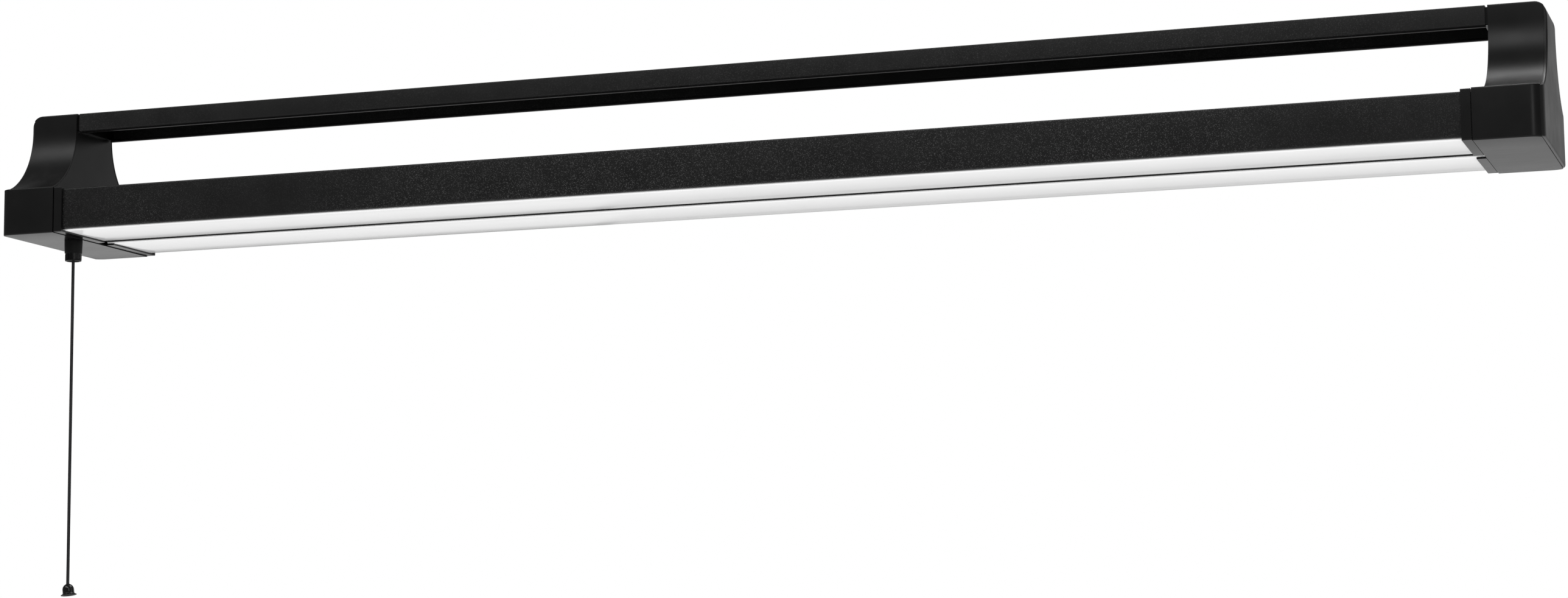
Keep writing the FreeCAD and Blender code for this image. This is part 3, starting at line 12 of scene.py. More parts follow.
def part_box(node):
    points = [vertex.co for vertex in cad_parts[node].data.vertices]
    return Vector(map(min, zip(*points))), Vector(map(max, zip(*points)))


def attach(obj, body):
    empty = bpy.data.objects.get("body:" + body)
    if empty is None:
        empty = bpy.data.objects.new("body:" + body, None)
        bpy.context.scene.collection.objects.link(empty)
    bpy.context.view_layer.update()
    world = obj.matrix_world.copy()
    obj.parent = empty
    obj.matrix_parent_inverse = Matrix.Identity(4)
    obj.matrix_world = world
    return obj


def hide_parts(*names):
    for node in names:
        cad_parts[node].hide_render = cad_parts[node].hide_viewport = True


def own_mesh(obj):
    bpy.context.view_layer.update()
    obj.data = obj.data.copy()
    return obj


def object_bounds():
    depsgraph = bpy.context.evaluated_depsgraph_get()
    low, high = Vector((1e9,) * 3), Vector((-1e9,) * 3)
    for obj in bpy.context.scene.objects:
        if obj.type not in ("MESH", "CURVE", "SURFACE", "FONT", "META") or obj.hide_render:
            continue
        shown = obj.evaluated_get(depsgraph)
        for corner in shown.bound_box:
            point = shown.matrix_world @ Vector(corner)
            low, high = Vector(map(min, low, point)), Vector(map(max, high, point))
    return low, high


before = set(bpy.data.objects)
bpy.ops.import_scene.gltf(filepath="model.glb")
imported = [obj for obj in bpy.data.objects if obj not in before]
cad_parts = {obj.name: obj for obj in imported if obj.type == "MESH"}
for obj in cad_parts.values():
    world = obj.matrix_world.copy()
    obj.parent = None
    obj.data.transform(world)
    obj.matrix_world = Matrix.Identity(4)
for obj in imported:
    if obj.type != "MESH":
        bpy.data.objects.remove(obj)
CAD_BOX = [list(corner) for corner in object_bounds()]

LOG = logging.getLogger("hanging_shop_light")

MM = 0.001
FULL_TURN = 2 * math.pi
QUARTER = 90
CUT_REACH = 3.0
SAME_POINT = 1e-4
HAIR_EASE = 0.12
FINE_EASE = 0.15
THIN_EASE = 0.2
PLATE_EASE = 0.25
BLOCK_EASE = 0.3
FOLD_ANGLE = 50

Point2 = tuple[float, float]
Point3 = tuple[float, float, float]
Mesh = bmesh.types.BMesh
Object = bpy.types.Object
Tree = bpy.types.NodeTree
Node = bpy.types.Node
Socket = bpy.types.NodeSocket


class Body(Enum):
    """The bodies of the motion model that pieces of this scene ride on."""

    FIXTURE = "fixture"
    PULL = "pull"


class Side(Enum):
    """The two ends of the light, as the sign of X outwards."""

    LEFT = -1
    RIGHT = 1

    @property
    def word(self) -> str:
        """The side as the nodes' names have it."""
        return self.name.lower()


@dataclass(frozen=True)
class NodeBox:
    """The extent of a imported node, in millimetres."""

    low: Vector
    high: Vector

    @classmethod
    def of(cls, node: str) -> "NodeBox":
        """The extent of the named node."""
        low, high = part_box(node)
        return cls(low / MM, high / MM)

    @property
    def corners(self) -> tuple[Vector, Vector]:
        """The node's lowest and highest corners."""
        return self.low, self.high

    @property
    def axis(self) -> Point2:
        """X and Y of the node's middle."""
        return (self.low.x + self.high.x) / 2, (self.low.y + self.high.y) / 2

    @property
    def radius(self) -> float:
        """Half the node's length along X."""
        return (self.high.x - self.low.x) / 2

    @property
    def height(self) -> float:
        """The node's height."""
        return self.high.z - self.low.z

    def outer_end(self, side: Side) -> float:
        """X of the node's end on one side."""
        return self.low.x if side is Side.LEFT else self.high.x


# ------------------------------------------------------------------ outlines

def on_circle(centre: Point2 | Vector, radius: float, angle: float) -> Point2:
    """The point of a circle at an angle."""
    return centre[0] + radius * math.cos(angle), centre[1] + radius * math.sin(angle)


def circle_outline(centre: Point2, radius: float, steps: int = 40) -> list[Point2]:
    """Points round a circle."""
    return [on_circle(centre, radius, FULL_TURN * step / steps) for step in range(steps)]


def mirrored(corners: list) -> list:
    """The other half of an outline, in the order that goes on round it."""
    return [(-across, *others) for across, *others in reversed(corners)]


def rounded_outline(corners: list[Point3], steps: int = 6) -> list[Point2]:
    """Round the corners of a closed outline.

    Args:
        corners: Corners as (across, up, radius), radius 0 for a sharp one.
        steps: Chords per rounded corner.

    Returns:
        The outline's points in order.
    """
    points = []
    for index, (across, up, radius) in enumerate(corners):
        here = Vector((across, up))
        if radius <= 0:
            points.append((here.x, here.y))
            continue
        before = (Vector(corners[index - 1][:2]) - here).normalized()
        after = (Vector(corners[(index + 1) % len(corners)][:2]) - here).normalized()
        half = before.angle(after) / 2
        centre = here + (before + after).normalized() * (radius / math.sin(half))
        start = here + before * (radius / math.tan(half)) - centre
        finish = here + after * (radius / math.tan(half)) - centre
        first = math.atan2(start.y, start.x)
        sweep = math.atan2(finish.y, finish.x) - first
        sweep = (sweep + math.pi) % FULL_TURN - math.pi
        points += [on_circle(centre, radius, first + sweep * step / steps) for step in range(steps + 1)]
    return points


def eased_corner(before: Point2, corner: Point2, after: Point2, steps: int = 4) -> list[Point2]:
    """A small curve that eases a corner between two points near it.

    Args:
        before: Where the curve leaves the first side.
        corner: The sharp corner.
        after: Where the curve joins the second side.
        steps: Chords along the curve.

    Returns:
        Points from before to after.
    """
    first, middle, last = Vector(before), Vector(corner), Vector(after)
    points = []
    for step in range(steps + 1):
        along = step / steps
        here = first * (1 - along) ** 2 + middle * 2 * along * (1 - along) + last * along ** 2
        points.append((here.x, here.y))
    return points


def rounding_loss(radius: float, inwards: float) -> float:
    """How far a rounded corner draws a side in, at a distance from the corner's end."""
    short = max(radius - inwards, 0.0)
    return radius - math.sqrt(radius ** 2 - short ** 2)


def quarter_places(radius: float, steps: int) -> list[float]:
    """Distances from a rounded corner's end that part its quarter turn evenly."""
    return [radius * (1 - math.cos(math.radians(QUARTER * step / steps))) for step in range(steps + 1)]


# ------------------------------------------------------------------ meshes

def object_from(source: Mesh, name: str) -> Object:
    """Turn a mesh in millimetres into an object in metres at the origin.

    Args:
        source: The mesh, which is freed.
        name: The object's name.

    Returns:
        The new object, linked to the scene.
    """
    bmesh.ops.remove_doubles(source, verts=source.verts, dist=SAME_POINT)
    bmesh.ops.dissolve_degenerate(source, edges=source.edges, dist=SAME_POINT / 10)
    bmesh.ops.recalc_face_normals(source, faces=source.faces)
    bmesh.ops.scale(source, vec=(MM, MM, MM), verts=source.verts)
    mesh = bpy.data.meshes.new(name)
    source.to_mesh(mesh)
    source.free()
    piece = bpy.data.objects.new(name, mesh)
    bpy.context.scene.collection.objects.link(piece)
    return piece


def skin_rings(source: Mesh, rings: list[list[Vector]]) -> list[list]:
    """Join closed rings of points with quads.

    Args:
        source: The mesh to add to.
        rings: Rings of points of one length.

    Returns:
        The vertices, ring by ring.
    """
    rows = [[source.verts.new(point) for point in ring] for ring in rings]
    count = len(rows[0])
    for first, second in zip(rows, rows[1:]):
        for index in range(count):
            following = (index + 1) % count
            source.faces.new((first[index], first[following], second[following], second[index]))
    return rows


def fill_ring(source: Mesh, ring: list) -> None:
    """Close a flat ring of vertices, which may be hollow in places, with triangles."""
    for corners in tessellate_polygon([[vertex.co for vertex in ring]]):
        source.faces.new([ring[corner] for corner in corners])


def skinned(name: str, rings: list[list[Vector]], capped: bool = True) -> Object:
    """A skin over closed rings of points.

    Args:
        name: The object's name.
        rings: Rings of points of one length.
        capped: Whether the first and last rings are filled.

    Returns:
        The piece.
    """
    source = bmesh.new()
    rows = skin_rings(source, rings)
    if capped:
        fill_ring(source, rows[0])
        fill_ring(source, rows[-1])
    return object_from(source, name)


def extrusion(name: str, outline: list[Point2], start: float, finish: float) -> Object:
    """A bar along X between two places, from an outline in Y and Z."""
    return skinned(name, [[Vector((x, *point)) for point in outline] for x in (start, finish)])


def upright_cutter(outline: list[Point2], low: float, high: float) -> Object:
    """A closed upright prism on an outline in X and Y, for cutting holes."""
    return skinned("cutter", [[Vector((*point, level)) for point in outline] for level in (low, high)])


def turned(name: str, profile: list[Point2], centre: Point2, steps: int) -> Object:
    """A closed profile turned round an upright axis.

    Args:
        name: The object's name.
        profile: (radius, height) of each corner, in order round the section.
        centre: X and Y of the axis.
        steps: Facets round the axis.

    Returns:
        The turned piece.
    """
    rings = []
    for step in range(steps + 1):
        angle = FULL_TURN * step / steps
        rings.append([Vector((*on_circle(centre, radius, angle), up)) for radius, up in profile])
    return skinned(name, rings, capped=False)


def tube_ring(centre: Vector, across: Vector, lift: Vector, radius: float, sides: int) -> list[Vector]:
    """Points round a tube's section, which spans two directions."""
    angles = [FULL_TURN * spoke / sides for spoke in range(sides)]
    return [centre + (across * math.cos(angle) + lift * math.sin(angle)) * radius for angle in angles]


def with_modifiers_applied(piece: Object) -> Object:
    """Bake an object's modifiers into its mesh."""
    bpy.context.view_layer.update()
    evaluated = piece.evaluated_get(bpy.context.evaluated_depsgraph_get())
    mesh = bpy.data.meshes.new_from_object(evaluated)
    piece.modifiers.clear()
    spent = piece.data
    piece.data = mesh
    bpy.data.meshes.remove(spent)
    return piece


def cut_away(piece: Object, cutters: list[Object]) -> Object:
    """Cut the shapes of other objects out of a piece and remove them.

    Args:
        piece: The piece that is cut.
        cutters: Closed shapes to take out.

    Returns:
        The piece.
    """
    for number, cutter in enumerate(cutters):
        modifier = piece.modifiers.new("cut_%d" % number, "BOOLEAN")
        modifier.operation = "DIFFERENCE"
        modifier.solver = "EXACT"
        modifier.object = cutter
    with_modifiers_applied(piece)
    for cutter in cutters:
        bpy.data.objects.remove(cutter)
    return piece


def smooth(piece: Object, sharp: float | None = None) -> None:
    """Shade a piece smooth, but for edges over an angle in degrees where one is given."""
    for polygon in piece.data.polygons:
        polygon.use_smooth = True
    if sharp is not None:
        piece.data.set_sharp_from_angle(angle=math.radians(sharp))


def ease_edges(piece: Object, width: float, angle: float = 40, segments: int = 2) -> None:
    """Round a piece's sharp edges a little and shade its faces true.

    Args:
        piece: The piece.
        width: The rounding's width in millimetres.
        angle: Least angle of an edge that is rounded, in degrees.
        segments: Facets across the rounding.
    """
    smooth(piece)
    bevel = piece.modifiers.new("eased edges", "BEVEL")
    bevel.width = width * MM
    bevel.segments = segments
    bevel.limit_method = "ANGLE"
    bevel.angle_limit = math.radians(angle)
    bevel.harden_normals = True
    bevel.use_clamp_overlap = True


# ------------------------------------------------------------------ nodes of a tree

def feed(tree: Tree, node: Node, values: dict) -> Node:
    """Set or link a node's inputs.

    Args:
        tree: The node's tree.
        node: The node.
        values: A number, a colour or a socket for each input, by its name or place.

    Returns:
        The node.
    """
    for key, value in values.items():
        if isinstance(value, Socket):
            tree.links.new(value, node.inputs[key])
        else:
            node.inputs[key].default_value = value
    return node


def node_in(tree: Tree, kind: str, values: dict) -> Node:
    """A new node of a kind with its inputs fed."""
    return feed(tree, tree.nodes.new(kind), values)


def arithmetic(tree: Tree, operation: str, *terms: float | Socket) -> Socket:
    """The result of a Math node."""
    node = tree.nodes.new("ShaderNodeMath")
    node.operation = operation
    return feed(tree, node, dict(enumerate(terms))).outputs[0]


def ramp(tree: Tree, source: Socket, low: float, high: float, bottom: float = 0.0,
         top: float | Socket = 1.0) -> Socket:
    """A value mapped from one range to another, held within it.

    Args:
        tree: The tree that it goes in.
        source: The value.
        low: Input that gives bottom.
        high: Input that gives top.
        bottom: Result at low.
        top: Result at high.

    Returns:
        The mapped value.
    """
    node = tree.nodes.new("ShaderNodeMapRange")
    node.interpolation_type = "SMOOTHSTEP"
    feed(tree, node, {"Value": source, "From Min": low, "From Max": high, "To Min": bottom, "To Max": top})
    return node.outputs["Result"]


def noise(tree: Tree, vector: Socket, scale: float | Socket, detail: float = 2.0) -> Socket:
    """A Noise Texture's value, from 0 to 1, by cells per metre and octaves."""
    return node_in(tree, "ShaderNodeTexNoise",
                   {"Vector": vector, "Scale": scale, "Detail": detail}).outputs["Fac"]


def drawn_long(tree: Tree, vector: Socket, share: float) -> Socket:
    """Coordinates in which a pattern runs long along X."""
    return node_in(tree, "ShaderNodeMapping", {"Vector": vector, "Scale": (share, 1.0, 1.0)}).outputs[0]


def looking_up(tree: Tree) -> Socket:
    """How far the surface looks up, from -1 to 1."""
    normal = tree.nodes.new("ShaderNodeNewGeometry").outputs["Normal"]
    return node_in(tree, "ShaderNodeSeparateXYZ", {0: normal}).outputs["Z"]


def tinted(tree: Tree, colour: Point3, shade: Socket) -> Socket:
    """A colour made lighter or darker by a value over the surface."""
    node = tree.nodes.new("ShaderNodeVectorMath")
    node.operation = "SCALE"
    return feed(tree, node, {0: colour, "Scale": shade}).outputs[0]


def blended(tree: Tree, mask: Socket, under: Socket, over: Point3) -> Socket:
    """One colour laid over another through a mask."""
    node = tree.nodes.new("ShaderNodeMix")
    node.data_type = "RGBA"
    return feed(tree, node, {"Factor": mask, 6: under, 7: (*over, 1)}).outputs[2]


def raise_grain(tree: Tree, shader: Node, height: Socket, depth: float) -> None:
    """Give a shader fine relief from a height, by its depth in millimetres."""
    bump = node_in(tree, "ShaderNodeBump", {"Strength": 1.0, "Distance": depth * MM, "Height": height})
    feed(tree, shader, {"Normal": bump.outputs["Normal"]})


# ------------------------------------------------------------------ shader groups

class GroupName(Enum):
    """Shader groups that several finishes share."""

    GRAIN = "moulded_grain"
    DUST = "settled_dust"
    SCUFF = "soft_scuffs"
    LINES = "tooling_lines"
    # Painted glints mixed into a coat's colour.
    GLINTS = "painted_glints"
    UNDERSIDE = "underside_value"


LOOKS_UP = (0.35, 0.95)
LOOKS_DOWN = (-0.95, -0.6)
DUST_PATCHES = (0.35, 0.75)
SCUFF_PATCHES = (0.5, 0.72)
HAIRLINES = (0.62, 0.7)
HAIRLINE_SCALE = 900.0
HAIRLINE_SHARE = 0.06
RUBBED_LEVEL = 0.35
TOOLING_SCALE = 1400.0
TOOLING_SHARE = 0.012
TOOLING_RANGE = (0.3, 0.7)
# Painted glints: bright specks mixed into the powder coats' colour in place of lamp glints, in patches along
# the body.
GLINT_SCALE = 2400.0
GLINT_RANGE = (0.8, 1.0)
GLINT_PATCH_SCALE = 4.0
GLINT_PATCHES = (0.35, 0.6, 0.15, 1.0)


def new_group(name: GroupName, inputs: dict[str, float | None], outputs: list[str]) -> tuple:
    """A shader group with its sockets.

    Args:
        name: The group's name.
        inputs: Socket names with their defaults, None for a vector.
        outputs: Names of the value outputs.

    Returns:
        The group, what its input node gives and what its output node takes.
    """
    group = bpy.data.node_groups.new(name.value, "ShaderNodeTree")
    for label, default in inputs.items():
        kind = "NodeSocketVector" if default is None else "NodeSocketFloat"
        socket = group.interface.new_socket(label, in_out="INPUT", socket_type=kind)
        if default is not None:
            socket.default_value = default
    for label in outputs:
        group.interface.new_socket(label, in_out="OUTPUT", socket_type="NodeSocketFloat")
    entry = group.nodes.new("NodeGroupInput")
    return group, entry.outputs, group.nodes.new("NodeGroupOutput")


def grain_group() -> Tree:
    """Fine pebbled grain with a slower mottling, as two values."""
    group, given, leaving = new_group(
        GroupName.GRAIN, {"Vector": None, "Scale": 1500.0, "Mottle Scale": 40.0}, ["Grain", "Mottle"])
    cells = group.nodes.new("ShaderNodeTexVoronoi")
    cells.feature = "SMOOTH_F1"
    feed(group, cells, {"Vector": given["Vector"], "Scale": given["Scale"]})
    speckle = noise(group, given["Vector"], given["Scale"], 3.0)
    both = arithmetic(group, "ADD", cells.outputs["Distance"], speckle)
    mottle = noise(group, given["Vector"], given["Mottle Scale"], 4.0)
    feed(group, leaving, {"Grain": arithmetic(group, "MULTIPLY", both, 0.5), "Mottle": mottle})
    return group


def dust_group() -> Tree:
    """Thin dust that lies on faces that look up, as a mask."""
    group, given, leaving = new_group(
        GroupName.DUST, {"Vector": None, "Amount": 0.3, "Scale": 120.0}, ["Mask"])
    upward = ramp(group, looking_up(group), *LOOKS_UP)
    patches = ramp(group, noise(group, given["Vector"], given["Scale"], 6.0), *DUST_PATCHES)
    mask = arithmetic(group, "MULTIPLY", upward, patches)
    feed(group, leaving, {"Mask": arithmetic(group, "MULTIPLY", mask, given["Amount"])})
    return group


def scuff_group() -> Tree:
    """Faint rubbed patches and hairlines, as a mask."""
    group, given, leaving = new_group(
        GroupName.SCUFF, {"Vector": None, "Amount": 0.3, "Scale": 18.0}, ["Mask"])
    patches = ramp(group, noise(group, given["Vector"], given["Scale"], 5.0), *SCUFF_PATCHES)
    long_way = drawn_long(group, given["Vector"], HAIRLINE_SHARE)
    lines = ramp(group, noise(group, long_way, HAIRLINE_SCALE), *HAIRLINES)
    mask = arithmetic(group, "MULTIPLY", patches, arithmetic(group, "ADD", lines, RUBBED_LEVEL))
    feed(group, leaving, {"Mask": arithmetic(group, "MULTIPLY", mask, given["Amount"])})
    return group


def lines_group() -> Tree:
    """Fine lines along X that a tool leaves, as a value."""
    group, given, leaving = new_group(GroupName.LINES, {"Vector": None}, ["Lines"])
    long_way = drawn_long(group, given["Vector"], TOOLING_SHARE)
    feed(group, leaving, {"Lines": ramp(group, noise(group, long_way, TOOLING_SCALE, 3.0), *TOOLING_RANGE)})
    return group


def glints_group() -> Tree:
    """Painted glints: bright specks laid into a coat's colour where lamps would glint on it, gathered in
    patches, as a mask.
    """
    group, given, leaving = new_group(GroupName.GLINTS, {"Vector": None, "Amount": 0.1}, ["Mask"])
    glints = node_in(group, "ShaderNodeTexVoronoi", {"Scale": GLINT_SCALE, "Vector": given["Vector"]})
    parts = node_in(group, "ShaderNodeSeparateColor", {0: glints.outputs["Color"]})
    bright = ramp(group, parts.outputs[0], *GLINT_RANGE, 0.0, given["Amount"])
    patches = ramp(group, noise(group, given["Vector"], GLINT_PATCH_SCALE, 3.0), *GLINT_PATCHES)
    feed(group, leaving, {"Mask": arithmetic(group, "MULTIPLY", bright, patches)})
    return group


def underside_group() -> Tree:
    """One value where the surface looks down and another elsewhere."""
    group, given, leaving = new_group(
        GroupName.UNDERSIDE, {"Beneath": 1.0, "Elsewhere": 0.0}, ["Value"])
    feed(group, leaving, {"Value": ramp(group, looking_up(group), *LOOKS_DOWN, given["Beneath"],
                                        given["Elsewhere"])})
    return group


GROUP_BUILDERS = {
    GroupName.GRAIN: grain_group, GroupName.DUST: dust_group, GroupName.SCUFF: scuff_group,
    GroupName.LINES: lines_group, GroupName.GLINTS: glints_group, GroupName.UNDERSIDE: underside_group,
}


def group_output(tree: Tree, name: GroupName, values: dict, output: str) -> Socket:
    """Place a shared shader group in a material.

    Args:
        tree: The material's tree.
        name: The group, which is built at its first use.
        values: Numbers or sockets for the group's inputs.
        output: The output that is wanted.

    Returns:
        That output.
    """
    node = tree.nodes.new("ShaderNodeGroup")
    node.node_tree = bpy.data.node_groups.get(name.value) or GROUP_BUILDERS[name]()
    return feed(tree, node, values).outputs[output]


# ------------------------------------------------------------------ finishes

class Streak(Enum):
    """Where a finish shows its tooling lines."""

    NONE = "none"
    ALONG = "along"
    BENEATH = "beneath"


DUST_COLOUR = (0.32, 0.31, 0.3)
# Colour of the painted glints.
GLINT_COLOUR = (0.5, 0.5, 0.5)
SHADE_RANGE = (0.25, 0.75)
ROUGHNESS_RANGE = (0.2, 0.8)
ROUGHNESS_SPREAD = 0.1
SCUFF_ROUGHNESS = 0.2
DUST_ROUGHNESS = 0.4
LINE_ROUGHNESS = 0.05


def grey(level: float) -> Point3:
    """A neutral colour."""
    return level, level, level


@dataclass(frozen=True)
class Finish:
    """A solid surface: a colour with grain, mottling, faint scuffs and dust, and painted glints where a coat
    asks for them.
    """

    name: str
    colour: Point3
    roughness: float
    ior: float = 1.45
    metallic: float = 0.0
    grain_scale: float = 1500.0
    grain_depth: float = 0.02
    mottle: float = 0.15
    scuffs: float = 0.1
    dust: float = 0.2
    streak: Streak = Streak.NONE
    polish_beneath: float = 1.0
    # Amount of painted glints mixed into the colour.
    glint_paint: float = 0.0

    def material(self) -> bpy.types.Material:
        """Build the finish, or find it where it is already built.

        Returns:
            The material, whose name is never that of one of the frame's own slots.
        """
        label = self.name + "_finish"
        found = bpy.data.materials.get(label)
        if found:
            return found
        material = bpy.data.materials.new(label)
        material.use_nodes = True
        tree = material.node_tree
        shader = feed(tree, tree.nodes["Principled BSDF"], {"IOR": self.ior, "Metallic": self.metallic})
        self.paint(tree, shader, tree.nodes.new("ShaderNodeTexCoord").outputs["Object"])
        return material

    def paint(self, tree: Tree, shader: Node, place: Socket) -> None:
        """Join the finish's patterns to its shader.

        Args:
            tree: The material's tree.
            shader: The Principled BSDF.
            place: Object coordinates.
        """
        grain = group_output(tree, GroupName.GRAIN, {"Vector": place, "Scale": self.grain_scale}, "Grain")
        mottle = grain.node.outputs["Mottle"]
        scuff = group_output(tree, GroupName.SCUFF, {"Vector": place, "Amount": self.scuffs}, "Mask")
        dust = group_output(tree, GroupName.DUST, {"Vector": place, "Amount": self.dust}, "Mask")
        shade = ramp(tree, mottle, *SHADE_RANGE, 1 - self.mottle, 1 + self.mottle)
        colour = blended(tree, dust, tinted(tree, self.colour, shade), DUST_COLOUR)
        rough = ramp(tree, mottle, *ROUGHNESS_RANGE, self.roughness * (1 - ROUGHNESS_SPREAD),
                     self.roughness * (1 + ROUGHNESS_SPREAD))
        rough = arithmetic(tree, "ADD", rough, arithmetic(tree, "MULTIPLY", scuff, SCUFF_ROUGHNESS))
        rough = arithmetic(tree, "ADD", rough, arithmetic(tree, "MULTIPLY", dust, DUST_ROUGHNESS))
        height = grain
        if self.polish_beneath < 1:
            levels = {"Beneath": self.polish_beneath, "Elsewhere": 1.0}
            polish = group_output(tree, GroupName.UNDERSIDE, levels, "Value")
            rough = arithmetic(tree, "MULTIPLY", rough, polish)
        if self.streak is not Streak.NONE:
            lines = group_output(tree, GroupName.LINES, {"Vector": place}, "Lines")
            if self.streak is Streak.BENEATH:
                beneath = group_output(tree, GroupName.UNDERSIDE, {"Beneath": 1.0, "Elsewhere": 0.0}, "Value")
                lines = arithmetic(tree, "MULTIPLY", lines, beneath)
            height = arithmetic(tree, "ADD", height, lines)
            rough = arithmetic(tree, "ADD", rough, arithmetic(tree, "MULTIPLY", lines, LINE_ROUGHNESS))
        # Painted glints: bright specks mixed into the base colour in place of lamp glints.
        if self.glint_paint:
            glints = group_output(tree, GroupName.GLINTS, {"Vector": place, "Amount": self.glint_paint}, "Mask")
            colour = blended(tree, glints, colour, GLINT_COLOUR)
        feed(tree, shader, {"Base Color": colour, "Roughness": rough})
        raise_grain(tree, shader, height, self.grain_depth)


@dataclass(frozen=True)
class Braid(Finish):
    """Fine braided sleeve of a cord that hangs straight, by its turn and height round the axis."""

    axis: Point2 = (0.0, 0.0)
    strands: int = 16
    pitch: float = 5.0
    valley: float = 0.4
    # shadow, dark and light set painted shade in the braid's valleys and a painted highlight on its ridges.
    shadow: float = 0.5
    dark: float = 0.8
    light: float = 1.15
    valley_roughness: float = 0.1

    def paint(self, tree: Tree, shader: Node, place: Socket) -> None:
        """Join crossing helical ridges to the shader, with painted shade in the valleys and a painted
        highlight on the ridges.

        Args:
            tree: The material's tree.
            shader: The Principled BSDF.
            place: Object coordinates.
        """
        parts = node_in(tree, "ShaderNodeSeparateXYZ", {0: place}).outputs
        across = arithmetic(tree, "SUBTRACT", parts["X"], self.axis[0] * MM)
        depth = arithmetic(tree, "SUBTRACT", parts["Y"], self.axis[1] * MM)
        turn = arithmetic(tree, "MULTIPLY", arithmetic(tree, "ARCTAN2", depth, across), self.strands / 2)
        rise = arithmetic(tree, "MULTIPLY", parts["Z"], math.pi * self.strands / (self.pitch * MM))
        ridges = []
        for way in (-1.0, 1.0):
            phase = arithmetic(tree, "ADD", turn, arithmetic(tree, "MULTIPLY", rise, way))
            ridges.append(arithmetic(tree, "ABSOLUTE", arithmetic(tree, "SINE", phase)))
        height = arithmetic(tree, "MAXIMUM", *ridges)
        # Painted shade and highlight: the colour darkens towards the valleys and lightens on the ridges.
        shade = ramp(tree, height, self.shadow, 1.0, self.dark, self.light)
        rough = ramp(tree, height, self.valley, 1.0, self.roughness + self.valley_roughness, self.roughness)
        feed(tree, shader, {"Base Color": tinted(tree, self.colour, shade), "Roughness": rough})
        raise_grain(tree, shader, height, self.grain_depth)


MOULDING = Finish("moulded_black", grey(0.0042), 0.34, ior=1.36, grain_scale=1800, grain_depth=0.006,
                  mottle=0.05, scuffs=0.0, dust=0.02, streak=Streak.BENEATH, polish_beneath=0.45)
END_PANEL = Finish("grained_black", grey(0.008), 0.38, ior=1.42, grain_scale=1400, grain_depth=0.02,
                   mottle=0.05, scuffs=0.03, dust=0.1, polish_beneath=0.5)
BAND = Finish("moulded_band", grey(0.004), 0.34, ior=1.36, grain_scale=1800, grain_depth=0.004,
              mottle=0.05, scuffs=0.02, dust=0.1, polish_beneath=0.45)
# Both powder coats carry painted glints in their colour.
POWDER = Finish("powder_coat", grey(0.006), 0.38, ior=1.38, grain_scale=1900, grain_depth=0.08,
                mottle=0.1, scuffs=0.0, dust=0.05, glint_paint=0.12)
RAIL_COAT = Finish("rail_powder_coat", grey(0.006), 0.42, ior=1.4, grain_scale=1900,
                   grain_depth=0.03, mottle=0.1, scuffs=0.02, glint_paint=0.05)
LENS = Finish("frosted_lens", grey(0.93), 0.1, ior=1.6, grain_scale=900, grain_depth=0.001,
              mottle=0.01, scuffs=0.02, dust=0.05)
SPINE = Finish("spine_plastic", grey(0.004), 0.4, ior=1.25, grain_depth=0.004)
SLEEVE = Finish("switch_sleeve", grey(0.004), 0.45, ior=1.25, grain_scale=2600, grain_depth=0.006,
                mottle=0.05, scuffs=0.0)
GRIP = Finish("grip_ring", grey(0.004), 0.28, ior=1.34, grain_scale=2600, grain_depth=0.004,
              mottle=0.05, scuffs=0.0)
GLOSS = Finish("gloss_black", grey(0.005), 0.1, ior=1.5, grain_depth=0.001, mottle=0.05, scuffs=0.02,
               dust=0.0)
ZINC = Finish("zinc_plate", (0.55, 0.56, 0.57), 0.3, metallic=1.0, grain_depth=0.004, streak=Streak.ALONG)
BLACK_STEEL = Finish("black_steel", grey(0.02), 0.5, grain_depth=0.02)
REFLECTOR = Finish("white_reflector", (0.85, 0.85, 0.84), 0.45, grain_depth=0.01)
BOARD = Finish("white_board", (0.8, 0.81, 0.8), 0.4, grain_depth=0.004)
PHOSPHOR = Finish("chip_phosphor", (0.85, 0.72, 0.28), 0.5, grain_depth=0.01)
DRIVER = Finish("driver_shell", (0.8, 0.8, 0.79), 0.45, grain_depth=0.01)
IVORY = Finish("ivory_nylon", (0.7, 0.66, 0.55), 0.45, grain_depth=0.008)
RUBBER = Finish("black_rubber", grey(0.02), 0.65, grain_depth=0.02)
BRASS = Finish("contact_brass", (0.72, 0.52, 0.2), 0.3, metallic=1.0, grain_depth=0.003)
SWITCH_SHELL = Finish("switch_moulding", grey(0.03), 0.4, grain_depth=0.01)
NYLON = Finish("natural_nylon", (0.72, 0.7, 0.64), 0.4, grain_depth=0.006)

CARRIED_NODES: dict[str, Finish] = {
    "hanger_bracket": BLACK_STEEL, "end_plate": ZINC, "tray_spacers": ZINC, "led_tray": REFLECTOR,
    "led_board": BOARD, "led_chips": PHOSPHOR, "driver_case": DRIVER, "terminal_block": IVORY,
    "inlet_grommet": RUBBER, "contact": BRASS, "switch_case": SWITCH_SHELL, "switch_lid": SWITCH_SHELL,
    "switch_plunger": NYLON, "ratchet_wheel": NYLON, "wheel_axle": ZINC, "screws": ZINC,
}


def finish_piece(piece: Object, finish: Finish, nodes: list[str],
                 body: Body = Body.FIXTURE) -> Object:
    """Dress a finished piece, put it on its body and let it stand for its nodes.

    Args:
        piece: The piece.
        finish: Its finish.
        nodes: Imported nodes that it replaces.
        body: The body that it rides on.

    Returns:
        The piece.
    """
    piece.data.materials.clear()
    piece.data.materials.append(finish.material())
    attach(piece, body.value)
    if nodes:
        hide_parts(*nodes)
    LOG.info("%s stands for %s", piece.name, ", ".join(nodes) or "nothing")
    return piece


# ------------------------------------------------------------------ camera, floor and light

